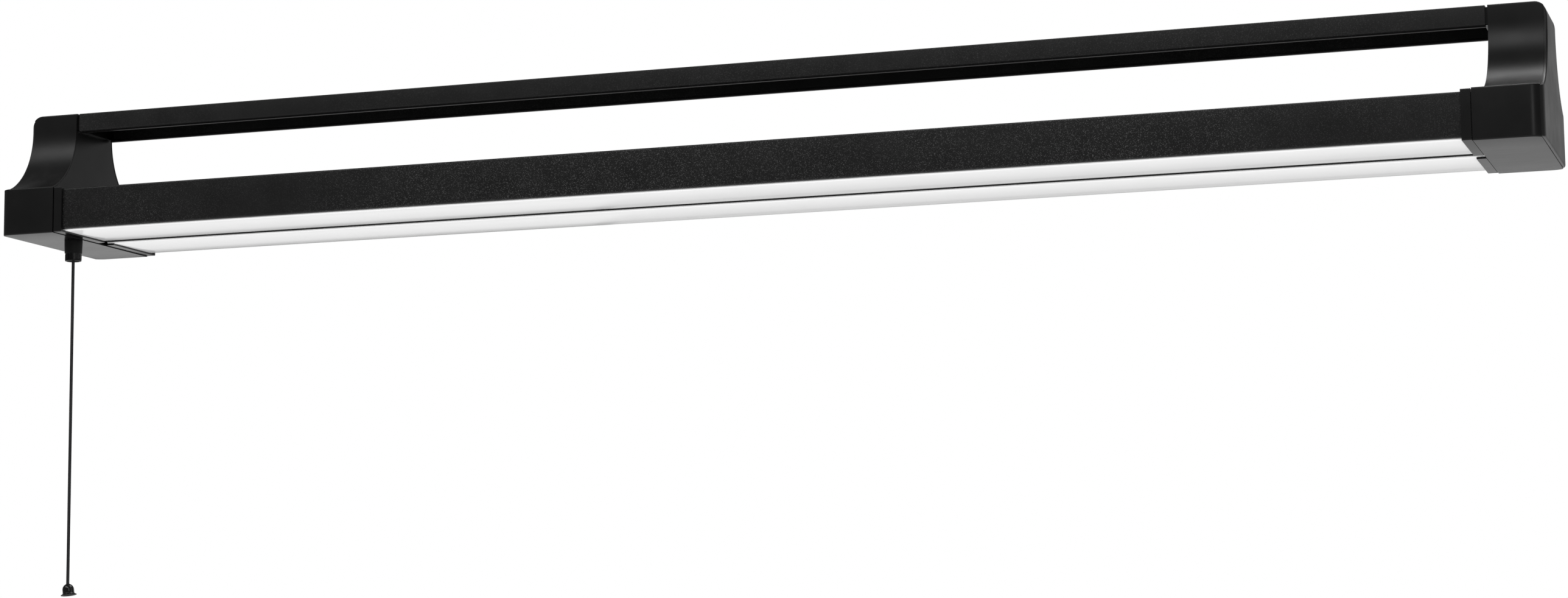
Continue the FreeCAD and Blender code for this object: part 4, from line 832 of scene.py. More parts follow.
@dataclass(frozen=True)
class Lamp:
    """A soft rectangular lamp: where it hangs, what it faces, its sides in metres and its watts."""

    name: str
    spot: Point3
    aim: Point3
    width: float
    height: float
    power: float

    def hang(self) -> None:
        """Put the lamp in the scene, out of the camera's sight."""
        data = bpy.data.lights.new(self.name, "AREA")
        data.shape = "RECTANGLE"
        data.size = self.width
        data.size_y = self.height
        data.energy = self.power
        lamp = bpy.data.objects.new(self.name, data)
        lamp.visible_camera = False
        lamp.location = self.spot
        way = Vector(self.aim) - Vector(self.spot)
        lamp.rotation_euler = way.to_track_quat("-Z", "Y").to_euler()
        bpy.context.scene.collection.objects.link(lamp)


LAMPS = (
    Lamp("front_lamp", (-0.7, -2.1, 1.9), (0.1, 0, -0.1), 3.6, 1.0, 34),
    Lamp("back_lamp", (0.5, 4.5, 0.6), (0.2, 0, -0.1), 5.0, 2.0, 10),
    Lamp("low_lamp", (-2.3, 2.6, -0.55), (-0.5, 0, -0.1), 2.2, 0.8, 0.8),
    Lamp("side_lamp", (1.8, -2.76, 0.5), (0.6, 0, -0.1), 0.5, 1.4, 7),
    Lamp("crown_lamp", (0.5, 0.6, 1.5), (0.55, 0, -0.1), 1.4, 0.9, 24),
)


@dataclass
class Studio:
    """The camera, the floor and the white surround."""

    camera_place: Point3 = (0.837, -2.3887, -0.5042)
    yaw: float = 18.66
    pitch: float = 7.333
    roll: float = -0.586
    lens: float = 76.66
    sensor: float = 36.0
    far_clip: float = 200
    floor_level: float = -2.4
    floor_size: float = 60.0
    floor_base: float = 0.78
    floor_roughness: float = 0.9
    floor_glow: float = 0.72
    mirrored_level: float = 0.15
    plain_level: float = 0.6

    def place_camera(self) -> None:
        """Put the camera where the photograph was taken from."""
        camera = bpy.data.objects.new("camera", bpy.data.cameras.new("camera"))
        camera.data.lens = self.lens
        camera.data.sensor_width = self.sensor
        camera.data.sensor_fit = "HORIZONTAL"
        camera.data.clip_end = self.far_clip
        turn = Matrix.Rotation(math.radians(self.yaw), 4, "Z")
        turn = turn @ Matrix.Rotation(math.radians(90 + self.pitch), 4, "X")
        turn = turn @ Matrix.Rotation(math.radians(self.roll), 4, "Z")
        camera.matrix_world = Matrix.Translation(self.camera_place) @ turn
        bpy.context.scene.collection.objects.link(camera)
        bpy.context.scene.camera = camera

    def lay_floor(self) -> None:
        """Lay a plain pale floor, which also glows softly upwards."""
        source = bmesh.new()
        bmesh.ops.create_grid(source, x_segments=1, y_segments=1, size=self.floor_size / 2 / MM)
        bmesh.ops.translate(source, verts=source.verts, vec=(0, 0, self.floor_level / MM))
        floor = object_from(source, "floor")
        material = bpy.data.materials.new("pale_floor")
        material.use_nodes = True
        tree = material.node_tree
        rays = tree.nodes.new("ShaderNodeLightPath").outputs
        glow = arithmetic(tree, "MAXIMUM", rays["Is Camera Ray"], rays["Is Diffuse Ray"])
        feed(tree, tree.nodes["Principled BSDF"], {
            "Base Color": (*grey(self.floor_base), 1), "Roughness": self.floor_roughness,
            "Emission Color": (1, 1, 1, 1),
            "Emission Strength": arithmetic(tree, "MULTIPLY", glow, self.floor_glow),
        })
        floor.data.materials.append(material)

    def set_surround(self) -> None:
        """Make the world white to the camera and plainer to the object."""
        world = bpy.data.worlds.new("surround")
        bpy.context.scene.world = world
        world.use_nodes = True
        tree = world.node_tree
        rays = tree.nodes.new("ShaderNodeLightPath").outputs
        seen = arithmetic(tree, "MAXIMUM", rays["Is Camera Ray"], rays["Is Transmission Ray"])
        glossy = arithmetic(tree, "MULTIPLY", rays["Is Glossy Ray"], self.mirrored_level - self.plain_level)
        unseen = arithmetic(tree, "ADD", glossy, self.plain_level)
        rest = arithmetic(tree, "MULTIPLY", arithmetic(tree, "SUBTRACT", 1.0, seen), unseen)
        strength = arithmetic(tree, "ADD", seen, rest)
        feed(tree, tree.nodes["Background"], {"Strength": strength, "Color": (1, 1, 1, 1)})

    def build(self) -> None:
        """Make the whole studio."""
        bpy.context.scene.view_settings.view_transform = "Standard"
        self.place_camera()
        self.lay_floor()
        self.set_surround()
        for lamp in LAMPS:
            lamp.hang()
        LOG.info("studio: camera, floor and lamps")


# ------------------------------------------------------------------ cord, knot and bell

@dataclass
class PullCord:
    """The braided cord from the plunger's rod, its knot and its bell."""

    stretches: int = 5
    cord_facets: int = 6
    strand_share: float = 0.34
    knot_steps: int = 96
    knot_sides: int = 10
    wall: float = 1.1
    hole: float = 1.4
    dome_radius: float = 4.6
    flare_power: float = 2.2
    rim_edge: float = 0.8
    rim_height: float = 2.2
    rim_ease: float = 0.2
    hollow_foot: float = 0.6
    crown_radius: float = 0.45
    crown_level: float = 1.15
    curve_steps: int = 8
    bell_facets: int = 72
    tilt: float = 7.0

    def __post_init__(self) -> None:
        """Read the cord's place and thickness from the frame."""
        box = NodeBox.of("pull_cord")
        self.axis = box.axis
        self.radius = box.radius
        self.top = box.high.z
        self.foot = box.low.z

    def build(self) -> None:
        """Make the cord, the knot and the bell."""
        cord = self.make_cord()
        knot = self.make_knot()
        bell = self.make_bell()

    def braid(self, name: str) -> Braid:
        """The cord's finish under a name."""
        return Braid(name, (0.011, 0.011, 0.012), 0.5, ior=1.4, grain_depth=0.04, axis=self.axis)

    def make_cord(self) -> Object:
        """The cord as one NURBS curve.

        Returns:
            The curve object.
        """
        curve = bpy.data.curves.new("pull_cord_braid", "CURVE")
        curve.dimensions = "3D"
        curve.bevel_depth = self.radius * MM
        curve.bevel_resolution = self.cord_facets
        curve.use_fill_caps = True
        spline = curve.splines.new("NURBS")
        spline.points.add(self.stretches)
        for index, point in enumerate(spline.points):
            level = self.top + (self.foot - self.top) * index / self.stretches
            point.co = (self.axis[0] * MM, self.axis[1] * MM, level * MM, 1)
        spline.order_u = 3
        spline.use_endpoint_u = True
        cord = bpy.data.objects.new("pull_cord_braid", curve)
        bpy.context.scene.collection.objects.link(cord)
        return finish_piece(cord, self.braid("braided_cord"), ["pull_cord"], Body.PULL)

    def make_knot(self) -> Object:
        """The overhand knot that the bell hangs on, as a trefoil of the cord drawn tight.

        Returns:
            The knot.
        """
        box = NodeBox.of("cord_knot")
        middle = Vector((*self.axis, (box.low.z + box.high.z) / 2))
        strand = box.radius * self.strand_share
        scale = (box.radius - strand) / 3
        rings = []
        for step in range(self.knot_steps + 1):
            centre, forward = self.trefoil(FULL_TURN * step / self.knot_steps, scale)
            across = forward.cross(Vector((0, 0, 1))).normalized()
            lift = across.cross(forward).normalized()
            rings.append(tube_ring(middle + centre, across, lift, strand, self.knot_sides))
        knot = skinned("overhand_knot", rings, capped=False)
        smooth(knot)
        return finish_piece(knot, self.braid("braided_knot"), ["cord_knot"], Body.PULL)

    @staticmethod
    def trefoil(along: float, scale: float, nudge: float = 0.01) -> tuple[Vector, Vector]:
        """A point of a trefoil and the direction there.

        Args:
            along: The angle, from 0 to a full turn.
            scale: A third of the knot's reach.
            nudge: How far to either side the direction is taken.

        Returns:
            The point and the tangent.
        """
        def at(angle: float) -> Vector:
            return Vector((math.sin(angle) + 2 * math.sin(2 * angle),
                           math.cos(angle) - 2 * math.cos(2 * angle), -math.sin(3 * angle))) * scale
        return at(along), (at(along + nudge) - at(along - nudge)).normalized()

    def bell_profile(self, height: float, rim: float) -> list[Point2]:
        """The bell's section, as radius and height over its top.

        Args:
            height: The bell's height.
            rim: The radius of its rim.

        Returns:
            The closed section.
        """
        dome = self.dome_radius
        hollow = dome - self.wall
        steps = self.curve_steps
        outer = []
        for step in range(steps + 1):
            angle = math.radians(QUARTER * step / steps)
            outer.append((max(self.hole, dome * math.sin(angle)), -dome * (1 - math.cos(angle))))
        flare_top = height - self.rim_height
        for step in range(1, steps + 1):
            share = step / steps
            outer.append((dome + (rim - dome) * share ** self.flare_power,
                          -(flare_top + (self.rim_height - self.rim_edge) * share)))
        outer += [(rim, -height + self.rim_ease), (rim - self.rim_ease, -height)]
        inner = [(rim - self.wall, -height), (hollow, -flare_top), (hollow, -dome * self.hollow_foot),
                 (dome * self.crown_radius, -self.wall * self.crown_level), (self.hole, -self.wall)]
        return outer + inner

    def make_bell(self) -> Object:
        """The glossy moulded bell, turned and tipped a little on its cord.

        Returns:
            The bell.
        """
        box = NodeBox.of("cord_bell")
        profile = [(radius, box.high.z + up) for radius, up in self.bell_profile(box.height, box.radius)]
        bell = turned("cord_bell_moulding", profile, self.axis, self.bell_facets)
        pivot = Vector((*self.axis, box.high.z)) * MM
        tilt = math.radians(self.tilt)
        lift = Vector((0, 0, box.radius * math.sin(tilt) * MM))
        tip = Matrix.Translation(pivot + lift) @ Matrix.Rotation(-tilt, 4, "Y")
        bell.data.transform(tip @ Matrix.Translation(-pivot))
        smooth(bell, FOLD_ANGLE)
        return finish_piece(bell, GLOSS, ["cord_bell"], Body.PULL)


# ------------------------------------------------------------------ end caps

@dataclass
class EndCap:
    """A moulded end: the block with its arm, the end panel, the arm's inner face and the collar."""

    side: Side
    wall: float = 1.2
    cover_inset: float = 0.6
    cover_gap: float = 0.3
    panel_rounding: float = 1.5
    panel_steps: int = 6
    plan_radius: float = 10.0
    plan_steps: int = 18
    further_stations: Point3 = (15.0, 22.0, 30.0)
    top_radius: float = 9.0
    edge: float = 1.2
    edge_steps: int = 5
    least_edge: float = 0.5
    edge_share: float = 0.45
    least_ledge: float = 1.2
    arm_margin: float = 1.0
    arm_depth: float = 41.2
    arm_straight: float = 12.5
    foot_reach: float = 42.0
    block_rise: float = 2.0
    flare_steps: int = 40
    neck_radius: float = 5.0
    face_plate: float = 2.0
    face_set_back: float = 0.05
    face_top_gap: float = 0.1
    collar_notch: float = 7.0
    collar_skin: float = 0.1
    collar_radius: float = 1.0
    rail_wall: float = 1.2
    seat_slack: float = 0.15
    seat_radius: float = 1.2
    seat_step: float = 2.0
    seat_root: float = 1.0
    seat_reach: float = 0.8

    def __post_init__(self) -> None:
        """Read the cap's main sizes from the frame."""
        cap = NodeBox.of("end_cap_" + self.side.word)
        cover = NodeBox.of("end_cover_" + self.side.word)
        self.rail = NodeBox.of("top_rail")
        self.body = NodeBox.of("body_housing")
        self.end = cover.outer_end(self.side)
        self.shell_start = cover.high.x - cover.low.x
        self.block_end = self.shell_start + cap.high.x - cap.low.x
        self.half = (cap.high.y - cap.low.y) / 2
        self.bottom = cap.low.z
        self.block_top = self.body.high.z + self.block_rise
        self.arm_half = self.rail.high.y + self.arm_margin
        rise = -self.block_top - self.arm_straight
        self.flare_radius = (self.foot_reach ** 2 + rise ** 2) / (2 * self.foot_reach)

    def inwards(self, distance: float) -> float:
        """X at a distance from the light's end."""
        return self.end - self.side.value * distance

    def ring_at(self, distance: float, outline: list[Point2]) -> list[Vector]:
        """An outline set up across the light at a distance from its end."""
        return [Vector((self.inwards(distance), *point)) for point in outline]

    def flare_point(self, angle: float, inset: float) -> Point2:
        """A point of the flare at an angle below its top, drawn in by an inset."""
        radius = self.flare_radius + inset
        return (self.arm_half + self.flare_radius - radius * math.cos(angle),
                -self.arm_straight - radius * math.sin(angle))

    def foot_angle(self, half: float, inset: float) -> float:
        """Angle of the flare where it meets the block's top or its side."""
        radius = self.flare_radius + inset
        level = self.block_top - inset
        at_ledge = math.asin((-level - self.arm_straight) / radius)
        at_side = math.acos((self.arm_half + self.flare_radius - half) / radius)
        return min(at_ledge, at_side)

    def flare(self, first: float, inset: float, start: int = 0) -> list[Point2]:
        """Points of the flare from an angle, or from a later step, up to its top."""
        steps = self.flare_steps
        return [self.flare_point(first * (1 - step / steps), inset) for step in range(start, steps + 1)]

    def half_section(self, distance: float, inset: float = 0.0) -> list[Point2]:
        """Right half of a section, from the middle of the underside up to the middle of the top.

        Args:
            distance: The section's distance from the light's end.
            inset: How far the skin is drawn in.

        Returns:
            Points as (across, up), of one number for every section.
        """
        half = self.half - rounding_loss(self.plan_radius, distance) - inset
        top = 0.0 - rounding_loss(self.top_radius, distance) - inset
        low = self.bottom + inset
        ledge = self.block_top - inset
        points = [(0.0, low), (half / 2, low)]
        points += eased_corner((half - self.edge, low), (half, low), (half, low + self.edge), self.edge_steps)
        first = self.foot_angle(half, inset)
        foot = self.flare_point(first, inset)
        spare = half - foot[0]
        reach = min(self.edge, max(spare * self.edge_share, self.least_edge))
        if spare > self.least_ledge:
            points += eased_corner((half, ledge - reach), (half, ledge), (half - reach, ledge))
            points.append((foot[0], ledge))
        else:
            first -= reach / self.flare_radius
            eased = self.flare_point(first, inset)
            points += eased_corner((half, foot[1] - reach), (half, foot[1]), eased)
            points.append(eased)
        points += self.flare(first, inset, 1)
        arm = self.arm_half - inset
        points += eased_corner((arm, top - self.edge), (arm, top), (arm - self.edge, top), self.edge_steps)
        points += [(arm / 2, top), (0.0, top)]
        return points

    def section(self, distance: float, inset: float = 0.0) -> list[Vector]:
        """A whole closed section, set up at its distance from the light's end."""
        half = self.half_section(distance, inset)
        return self.ring_at(distance, half + mirrored(half[1:-1]))

    def stations(self, start: float, finish: float) -> list[float]:
        """Distances from the end at which the skin has a section."""
        places = {start, finish, *quarter_places(self.plan_radius, self.plan_steps), *self.further_stations}
        return sorted(place for place in places if start <= place <= finish)

    def block_outline(self) -> list[Point2]:
        """The closed outline of the block below its ledge, without repeated points."""
        right = [point for point in self.half_section(self.arm_depth) if point[1] < self.block_top + 1e-6]
        points = []
        for point in [(-across, up) for across, up in right] + right[::-1]:
            if not points or math.dist(points[-1], point) > SAME_POINT:
                points.append(point)
        if math.dist(points[0], points[-1]) < SAME_POINT:
            points.pop()
        return points

    def make_shell(self) -> Object:
        """The block and the arm as one hollow moulding, open towards the body.

        Returns:
            The shell.
        """
        source = bmesh.new()
        stations = self.stations(self.shell_start, self.arm_depth)
        rows = skin_rings(source, [self.section(place) for place in stations])
        fill_ring(source, rows[0])
        outline = self.block_outline()
        skin_rings(source, [self.ring_at(place, outline) for place in (self.arm_depth, self.block_end)])
        shell = object_from(source, "end_cap_shell_" + self.side.word)
        solid = shell.modifiers.new("wall", "SOLIDIFY")
        solid.thickness = self.wall * MM
        solid.offset = -1
        solid.use_even_offset = True
        solid.use_quality_normals = True
        with_modifiers_applied(shell)
        if self.side is Side.LEFT:
            hole = circle_outline(NodeBox.of("switch_barrel").axis, self.neck_radius)
            cut_away(shell, [upright_cutter(hole, self.bottom - CUT_REACH, self.bottom + CUT_REACH)])
        ease_edges(shell, PLATE_EASE, FOLD_ANGLE)
        return finish_piece(shell, MOULDING, ["end_cap_" + self.side.word])

    def make_end_panel(self) -> Object:
        """The end panel, a little smaller all round so that a dark seam shows.

        Returns:
            The panel.
        """
        places = set(self.stations(0.0, self.shell_start))
        rings = []
        for place in sorted(places.union(quarter_places(self.panel_rounding, self.panel_steps))):
            drawn_in = rounding_loss(self.panel_rounding, place)
            rings.append(self.section(place, self.cover_inset + drawn_in))
        panel = skinned("end_panel_" + self.side.word, rings)
        ease_edges(panel, BLOCK_EASE, FOLD_ANGLE)
        return finish_piece(panel, END_PANEL, ["end_cover_" + self.side.word])

    def make_rail_seat(self) -> Object:
        """The low seat on the arm that closes the rail's end, cut away for the bracket.

        Returns:
            The seat.
        """
        slack = self.seat_slack
        half = self.rail.high.y - self.rail_wall - slack
        low = self.rail.low.z + self.rail_wall + slack
        top = self.rail.high.z - self.rail_wall - slack
        strap = NodeBox.of("hanger_bracket_" + self.side.word).high.y + slack
        right = [(half, low, self.seat_radius), (half, top, 0), (strap, top, 0),
                 (strap, top - self.seat_step - slack, 0)]
        start = self.inwards(self.arm_depth - self.seat_root)
        finish = self.rail.outer_end(self.side) - self.side.value * self.seat_reach
        outline = rounded_outline(right + mirrored(right))
        seat = extrusion("rail_seat_" + self.side.word, outline, start, finish)
        ease_edges(seat, FINE_EASE)
        return finish_piece(seat, BAND, [])

    def make_arm_face(self) -> Object:
        """The flat inner face of the arm, set in its rim with a fine seam.

        Returns:
            The face plate.
        """
        inset = self.wall + self.cover_gap
        flare = self.flare(self.foot_angle(self.half, inset), inset)
        right = [(flare[0][0], self.block_top - self.wall), *flare,
                 (self.arm_half - inset, -self.wall - self.face_top_gap)]
        plate = extrusion("arm_face_" + self.side.word, right + mirrored(right),
                          self.inwards(self.arm_depth - self.face_plate),
                          self.inwards(self.arm_depth - self.face_set_back))
        ease_edges(plate, PLATE_EASE, FOLD_ANGLE)
        return finish_piece(plate, MOULDING, ["arm_cover_" + self.side.word])

    def make_collar(self) -> Object:
        """The band round the body's end, parted below where the spine passes.

        Returns:
            The collar.
        """
        low, high = NodeBox.of("collar_" + self.side.word).corners
        notch = self.collar_notch
        radius = self.collar_radius
        skin = self.collar_skin
        mouth = NodeBox.of("diffuser_front").low.z - skin
        left, right = self.body.low.y - skin, self.body.high.y + skin
        roof = self.body.high.z + skin
        outline = rounded_outline([
            (notch, low.z, 0), (high.y, low.z, radius), (high.y, high.z, radius), (low.y, high.z, radius),
            (low.y, low.z, radius), (-notch, low.z, 0), (-notch, mouth, 0), (left, mouth, 0),
            (left, roof, 0), (right, roof, 0), (right, mouth, 0), (notch, mouth, 0),
        ])
        collar = extrusion("collar_band_" + self.side.word, outline, low.x, high.x)
        ease_edges(collar, BLOCK_EASE)
        return finish_piece(collar, BAND, ["collar_" + self.side.word])

    def build(self) -> None:
        """Make the cap's pieces."""
        self.make_shell()
        self.make_end_panel()
        self.make_rail_seat()
        self.make_arm_face()
        self.make_collar()


# ------------------------------------------------------------------ rail

@dataclass
class TopRail:
    """The rolled rail: open below between two lips, with hanging slots in its top."""

    wall: float = 1.2
    lip: float = 5.0
    lower_radius: float = 2.6
    upper_radius: float = 0.9
    bend_steps: int = 7
    slot_spacing: float = 914.4
    slot_length: float = 20.0
    slot_width: float = 6.5
    slot_steps: int = 12
    screw_hole: float = 2.15
    screw_inset: float = 71.0

    def outline(self, rail: NodeBox) -> list[Point2]:
        """The rail's closed section."""
        half = rail.high.y
        lip = half - self.lip
        inner_top = rail.high.z - self.wall
        inner_low = rail.low.z + self.wall
        right = [(lip, rail.low.z, 0), (half, rail.low.z, self.lower_radius),
                 (half, rail.high.z, self.upper_radius)]
        inside = [(half - self.wall, inner_top, 0),
                  (half - self.wall, inner_low, self.lower_radius - self.wall), (lip, inner_low, 0)]
        return rounded_outline(right + mirrored(right) + mirrored(inside) + inside, self.bend_steps)

    def slot_outline(self, middle: float) -> list[Point2]:
        """A long hole's outline round a place on the rail."""
        straight = (self.slot_length - self.slot_width) / 2
        points = []
        for turn, shift in ((-QUARTER, straight), (QUARTER, -straight)):
            for step in range(self.slot_steps + 1):
                angle = math.radians(turn + 2 * QUARTER * step / self.slot_steps)
                points.append(on_circle((middle + shift, 0), self.slot_width / 2, angle))
        return points

    def build(self) -> None:
        """Make the rail."""
        box = NodeBox.of("top_rail")
        rail = extrusion("rolled_rail", self.outline(box), box.low.x, box.high.x)
        screw_place = CAD_BOX[1][0] / MM - self.screw_inset
        outlines = []
        for way in (-1, 1):
            outlines.append(self.slot_outline(way * self.slot_spacing / 2))
            outlines.append(circle_outline((way * screw_place, 0), self.screw_hole))
        low, high = box.high.z - CUT_REACH, box.high.z + CUT_REACH
        cut_away(rail, [upright_cutter(outline, low, high) for outline in outlines])
        ease_edges(rail, THIN_EASE)
        finish_piece(rail, RAIL_COAT, ["top_rail"])


# ------------------------------------------------------------------ channel body

@dataclass
class ChannelBody:
    """The folded steel channel, its two frosted lenses and the spine between them."""

    wall: float = 0.9
    hem: float = 4.0
    fold: float = 1.4
    inner_fold: float = 0.5
    lens_wall: float = 1.5
    lens_edge: float = 1.1
    lens_hollow: float = 0.6
    lens_lip: float = 0.3
    lens_crease: float = 0.2
    outer_flange: float = 3.1
    inner_flange: float = 2.1
    spine_rim: float = 2.0
    spine_edge: float = 0.4
    spine_bend: float = 0.3
    spine_valley: float = 0.5
    spine_groove: float = 5.0
    spine_web: float = 1.0
    spine_foot: float = 6.0
    foot_thickness: float = 1.0
    spine_wall: float = 0.9
    inlet_hole: float = 6.6
    lens_steps: int = 5
    spine_steps: int = 4

    def make_channel(self) -> None:
        """The channel, with the hole for the supply inlet."""
        low, high = NodeBox.of("body_housing").corners
        half = high.y
        inner_low = low.z + self.wall
        right = [(half - self.hem, low.z, 0), (half, low.z, self.fold), (half, high.z, self.fold)]
        inside = [(half - self.wall, high.z - self.wall, self.inner_fold),
                  (half - self.wall, inner_low, self.inner_fold), (half - self.hem, inner_low, 0)]
        outline = rounded_outline(right + mirrored(right) + mirrored(inside) + inside)
        channel = extrusion("folded_channel", outline, low.x, high.x)
        hole = circle_outline(NodeBox.of("inlet_grommet").axis, self.inlet_hole)
        cut_away(channel, [upright_cutter(hole, high.z - CUT_REACH, high.z + CUT_REACH)])
        ease_edges(channel, THIN_EASE)
        finish_piece(channel, POWDER, ["body_housing"])

    def make_lens(self, node: str) -> None:
        """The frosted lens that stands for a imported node."""
        low, high = NodeBox.of(node).corners
        way = -1 if low.y + high.y < 0 else 1
        outer, inner = max(abs(low.y), abs(high.y)), min(abs(low.y), abs(high.y))
        step_out, step_in = outer - self.outer_flange, inner + self.inner_flange
        seat = high.z - self.lens_wall
        wall = self.lens_wall
        edge, hollow, lip, crease = self.lens_edge, self.lens_hollow, self.lens_lip, self.lens_crease
        corners = [
            (outer, seat, lip), (step_out, seat, crease), (step_out, low.z, edge), (step_in, low.z, edge),
            (step_in, seat, crease), (inner, seat, lip), (inner, high.z, lip), (step_in + wall, high.z, lip),
            (step_in + wall, low.z + wall, hollow), (step_out - wall, low.z + wall, hollow),
            (step_out - wall, high.z, lip), (outer, high.z, lip),
        ]
        outline = rounded_outline([(way * across, up, radius) for across, up, radius in corners],
                                  self.lens_steps)
        lens = extrusion("lens_" + node.split("_")[1], outline, low.x, high.x)
        ease_edges(lens, THIN_EASE, FOLD_ANGLE)
        finish_piece(lens, LENS, [node])

    def make_spine(self) -> None:
        """The dark extrusion between the lenses."""
        low, high = NodeBox.of("centre_spine").corners
        rim = high.y
        lip = rim - self.spine_rim
        shoulder = low.z + self.wall
        groove = low.z + self.spine_groove
        ankle = high.z - self.foot_thickness
        right = [
            (rim, low.z, self.spine_edge), (rim, shoulder, 0), (lip, shoulder, 0),
            (self.spine_web, groove + self.spine_wall, self.spine_bend),
            (self.spine_web, ankle, self.spine_bend), (self.spine_foot, ankle, 0),
            (self.spine_foot, high.z, 0),
        ]
        below = [(-lip, low.z, self.spine_bend), (0, groove, self.spine_valley),
                 (lip, low.z, self.spine_bend)]
        outline = rounded_outline(right + mirrored(right) + below, self.spine_steps)
        spine = extrusion("spine_extrusion", outline, low.x, high.x)
        ease_edges(spine, HAIR_EASE, FOLD_ANGLE)
        finish_piece(spine, SPINE, ["centre_spine"])

    def build(self) -> None:
        """Make the channel, the lenses and the spine."""
        self.make_channel()
        for node in ("diffuser_front", "diffuser_rear"):
            self.make_lens(node)
        self.make_spine()


# ------------------------------------------------------------------ pull switch's outside

@dataclass
class SwitchSleeve:
    """The barrel under the left cap and the ribbed guide that the cord comes out of."""

    barrel_edge: float = 0.6
    ease: float = 0.15
    foot_lift: float = 0.2
    shoulder: float = 1.2
    neck: float = 4.9
    bore: float = 2.06
    waist: float = 0.25
    barrel_facets: int = 80
    guide_bore: float = 1.75
    cup: float = 1.4
    lip: float = 0.5
    ribs: int = 14
    rib_height: float = 4.4
    rib_width: float = 1.1
    rib_depth: float = 0.25
    rib_lift: float = 0.3
    throat_share: float = 1.6
    throat_flare: float = 0.6
    cup_share: float = 0.7
    cup_margin: float = 0.2
    bead_height: float = 0.9
    rib_foot: float = 1.2
    rib_top: float = 0.5
    crown_height: float = 0.3
    crown_inset: float = 0.1
    sharp_angle: float = 35
    guide_facets: int = 88

    def build(self) -> None:
        """Make the barrel and the guide."""
        box = NodeBox.of("switch_barrel")
        guide = NodeBox.of("cord_guide")
        radius = box.radius
        waist = radius - self.waist
        under = NodeBox.of("end_cap_left").low.z
        foot = guide.high.z
        profile = [
            (self.bore, foot), (waist - self.barrel_edge, foot), (waist - self.ease, foot + self.foot_lift),
            (waist, foot + self.barrel_edge), (radius, under - self.shoulder), (radius, under),
            (self.neck, under), (self.neck, box.high.z), (self.bore, box.high.z),
        ]
        sleeve = turned("switch_sleeve", profile, box.axis, self.barrel_facets)
        ease_edges(sleeve, FINE_EASE)
        finish_piece(sleeve, SLEEVE, ["switch_barrel"])
        self.make_guide(box.axis, guide)

    def make_guide(self, centre: Point2, guide: NodeBox) -> None:
        """The ribbed guide ring with a cupped mouth.

        Args:
            centre: X and Y of the axis.
            guide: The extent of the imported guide, over its ribs.
        """
        foot, top, radius = guide.low.z, guide.high.z, guide.radius
        core = radius - self.rib_depth
        crown = radius - self.crown_inset
        cup = self.cup
        ease = self.ease
        profile = [
            (self.guide_bore, top), (self.guide_bore, foot + cup * self.throat_share),
            (self.guide_bore + self.throat_flare, foot + cup),
            (radius - cup - self.cup_margin, foot + cup * self.cup_share), (radius - cup, foot + ease),
            (radius - cup + ease, foot), (radius - self.lip, foot), (radius - ease, foot + ease),
            (radius, foot + self.lip), (radius, foot + self.bead_height), (core, foot + self.rib_foot),
            (core, top - self.rib_top), (crown, top - self.crown_height), (crown, top),
        ]
        ring = turned("cord_guide_ring", profile, centre, self.guide_facets)
        smooth(ring, self.sharp_angle)
        middle = Vector((*centre, (foot + top) / 2 + self.rib_lift))
        size = Vector((self.rib_depth * 2, self.rib_width, self.rib_height))
        add_ribs(ring, middle * MM, core * MM, self.ribs, size * MM, GRIP.material())
        finish_piece(ring, GRIP, ["cord_guide"])


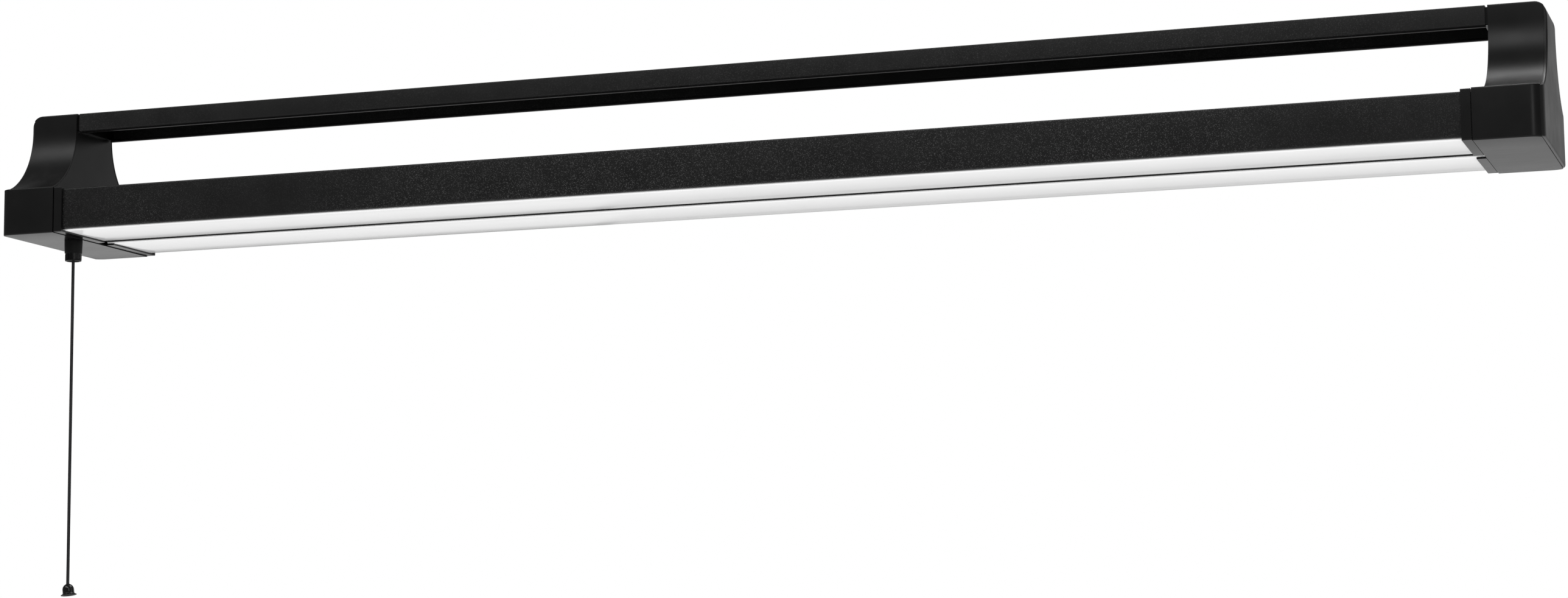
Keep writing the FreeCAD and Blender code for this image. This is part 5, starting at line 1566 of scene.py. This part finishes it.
def add_ribs(piece: Object, centre: Vector, radius: float, count: int, size: Vector,
             material: bpy.types.Material) -> None:
    """Set upright ribs round a piece by Geometry Nodes and bake them in.

    Args:
        piece: The ring that gets the ribs.
        centre: The ring's centre, in metres.
        radius: Radius of the ribs' middles.
        count: How many ribs.
        size: A rib's depth, width and height.
        material: The ribs' material.
    """
    tree = bpy.data.node_groups.new("rib_ring", "GeometryNodeTree")
    tree.interface.new_socket("Geometry", in_out="INPUT", socket_type="NodeSocketGeometry")
    values = {"Centre": ("NodeSocketVector", centre), "Radius": ("NodeSocketFloat", radius),
              "Count": ("NodeSocketInt", count), "Rib Size": ("NodeSocketVector", size)}
    keys = {label: tree.interface.new_socket(label, in_out="INPUT", socket_type=kind).identifier
            for label, (kind, _) in values.items()}
    tree.interface.new_socket("Geometry", in_out="OUTPUT", socket_type="NodeSocketGeometry")
    given = tree.nodes.new("NodeGroupInput").outputs
    circle = node_in(tree, "GeometryNodeMeshCircle", {"Vertices": given["Count"], "Radius": given["Radius"]})
    rib = node_in(tree, "GeometryNodeMeshCube", {"Size": given["Rib Size"]})
    turn = tree.nodes.new("FunctionNodeAlignRotationToVector")
    turn.axis = "X"
    feed(tree, turn, {"Vector": tree.nodes.new("GeometryNodeInputPosition").outputs[0]})
    copies = node_in(tree, "GeometryNodeInstanceOnPoints",
                     {"Points": circle.outputs["Mesh"], "Instance": rib.outputs["Mesh"],
                      "Rotation": turn.outputs["Rotation"]})
    shift = node_in(tree, "GeometryNodeTransform",
                    {"Geometry": copies.outputs["Instances"], "Translation": given["Centre"]})
    join = node_in(tree, "GeometryNodeJoinGeometry", {0: shift.outputs[0]})
    feed(tree, join, {0: given["Geometry"]})
    real = node_in(tree, "GeometryNodeRealizeInstances", {0: join.outputs[0]})
    paint = node_in(tree, "GeometryNodeSetMaterial", {"Geometry": real.outputs[0], "Material": material})
    node_in(tree, "NodeGroupOutput", {0: paint.outputs[0]})
    modifier = piece.modifiers.new("ribs", "NODES")
    modifier.node_group = tree
    for label, (_, value) in values.items():
        modifier[keys[label]] = value
    with_modifiers_applied(piece)


@dataclass
class ReturnSpring:
    """The plunger's return spring, which shortens as the cord is pulled."""

    wire: float = 0.6
    turns: int = 4
    travel: float = 7.85
    steps_per_turn: int = 36
    sides: int = 12
    sharp_angle: float = 60

    def build(self) -> None:
        """Make the coil between its seat and the plunger."""
        box = NodeBox.of("plunger_spring")
        centre = Vector((*box.axis, box.low.z + self.wire / 2))
        radius = (box.high.x - box.low.x - self.wire) / 2
        rise = box.high.z - box.low.z - self.wire
        count = self.turns * self.steps_per_turn
        rings = []
        for step in range(count + 1):
            angle = FULL_TURN * self.turns * step / count
            outward = Vector((math.cos(angle), math.sin(angle), 0))
            middle = centre + outward * radius + Vector((0, 0, rise * step / count))
            rings.append(tube_ring(middle, outward, Vector((0, 0, 1)), self.wire / 2, self.sides))
        coil = skinned("return_spring", rings)
        smooth(coil, self.sharp_angle)
        finish_piece(coil, ZINC, ["plunger_spring"])
        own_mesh(coil)


# ------------------------------------------------------------------ nodes that stay

def dress_carried_nodes() -> None:
    """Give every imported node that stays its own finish."""
    for name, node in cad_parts.items():
        if node.hide_render:
            continue
        finish = next((look for part, look in CARRIED_NODES.items() if part in name), None)
        if finish is None:
            LOG.warning("%s has no finish", name)
            continue
        node.data.materials.clear()
        node.data.materials.append(finish.material())
        LOG.info("%s keeps its packed shape, in %s", name, finish.name)


def main() -> None:
    """Build the light, piece by piece."""
    logging.basicConfig(level=logging.INFO, format="%(name)s: %(message)s")
    Studio().build()
    PullCord().build()
    TopRail().build()
    for side in Side:
        EndCap(side).build()
    ChannelBody().build()
    SwitchSleeve().build()
    ReturnSpring().build()
    dress_carried_nodes()


if __name__ == "__main__":
    main()
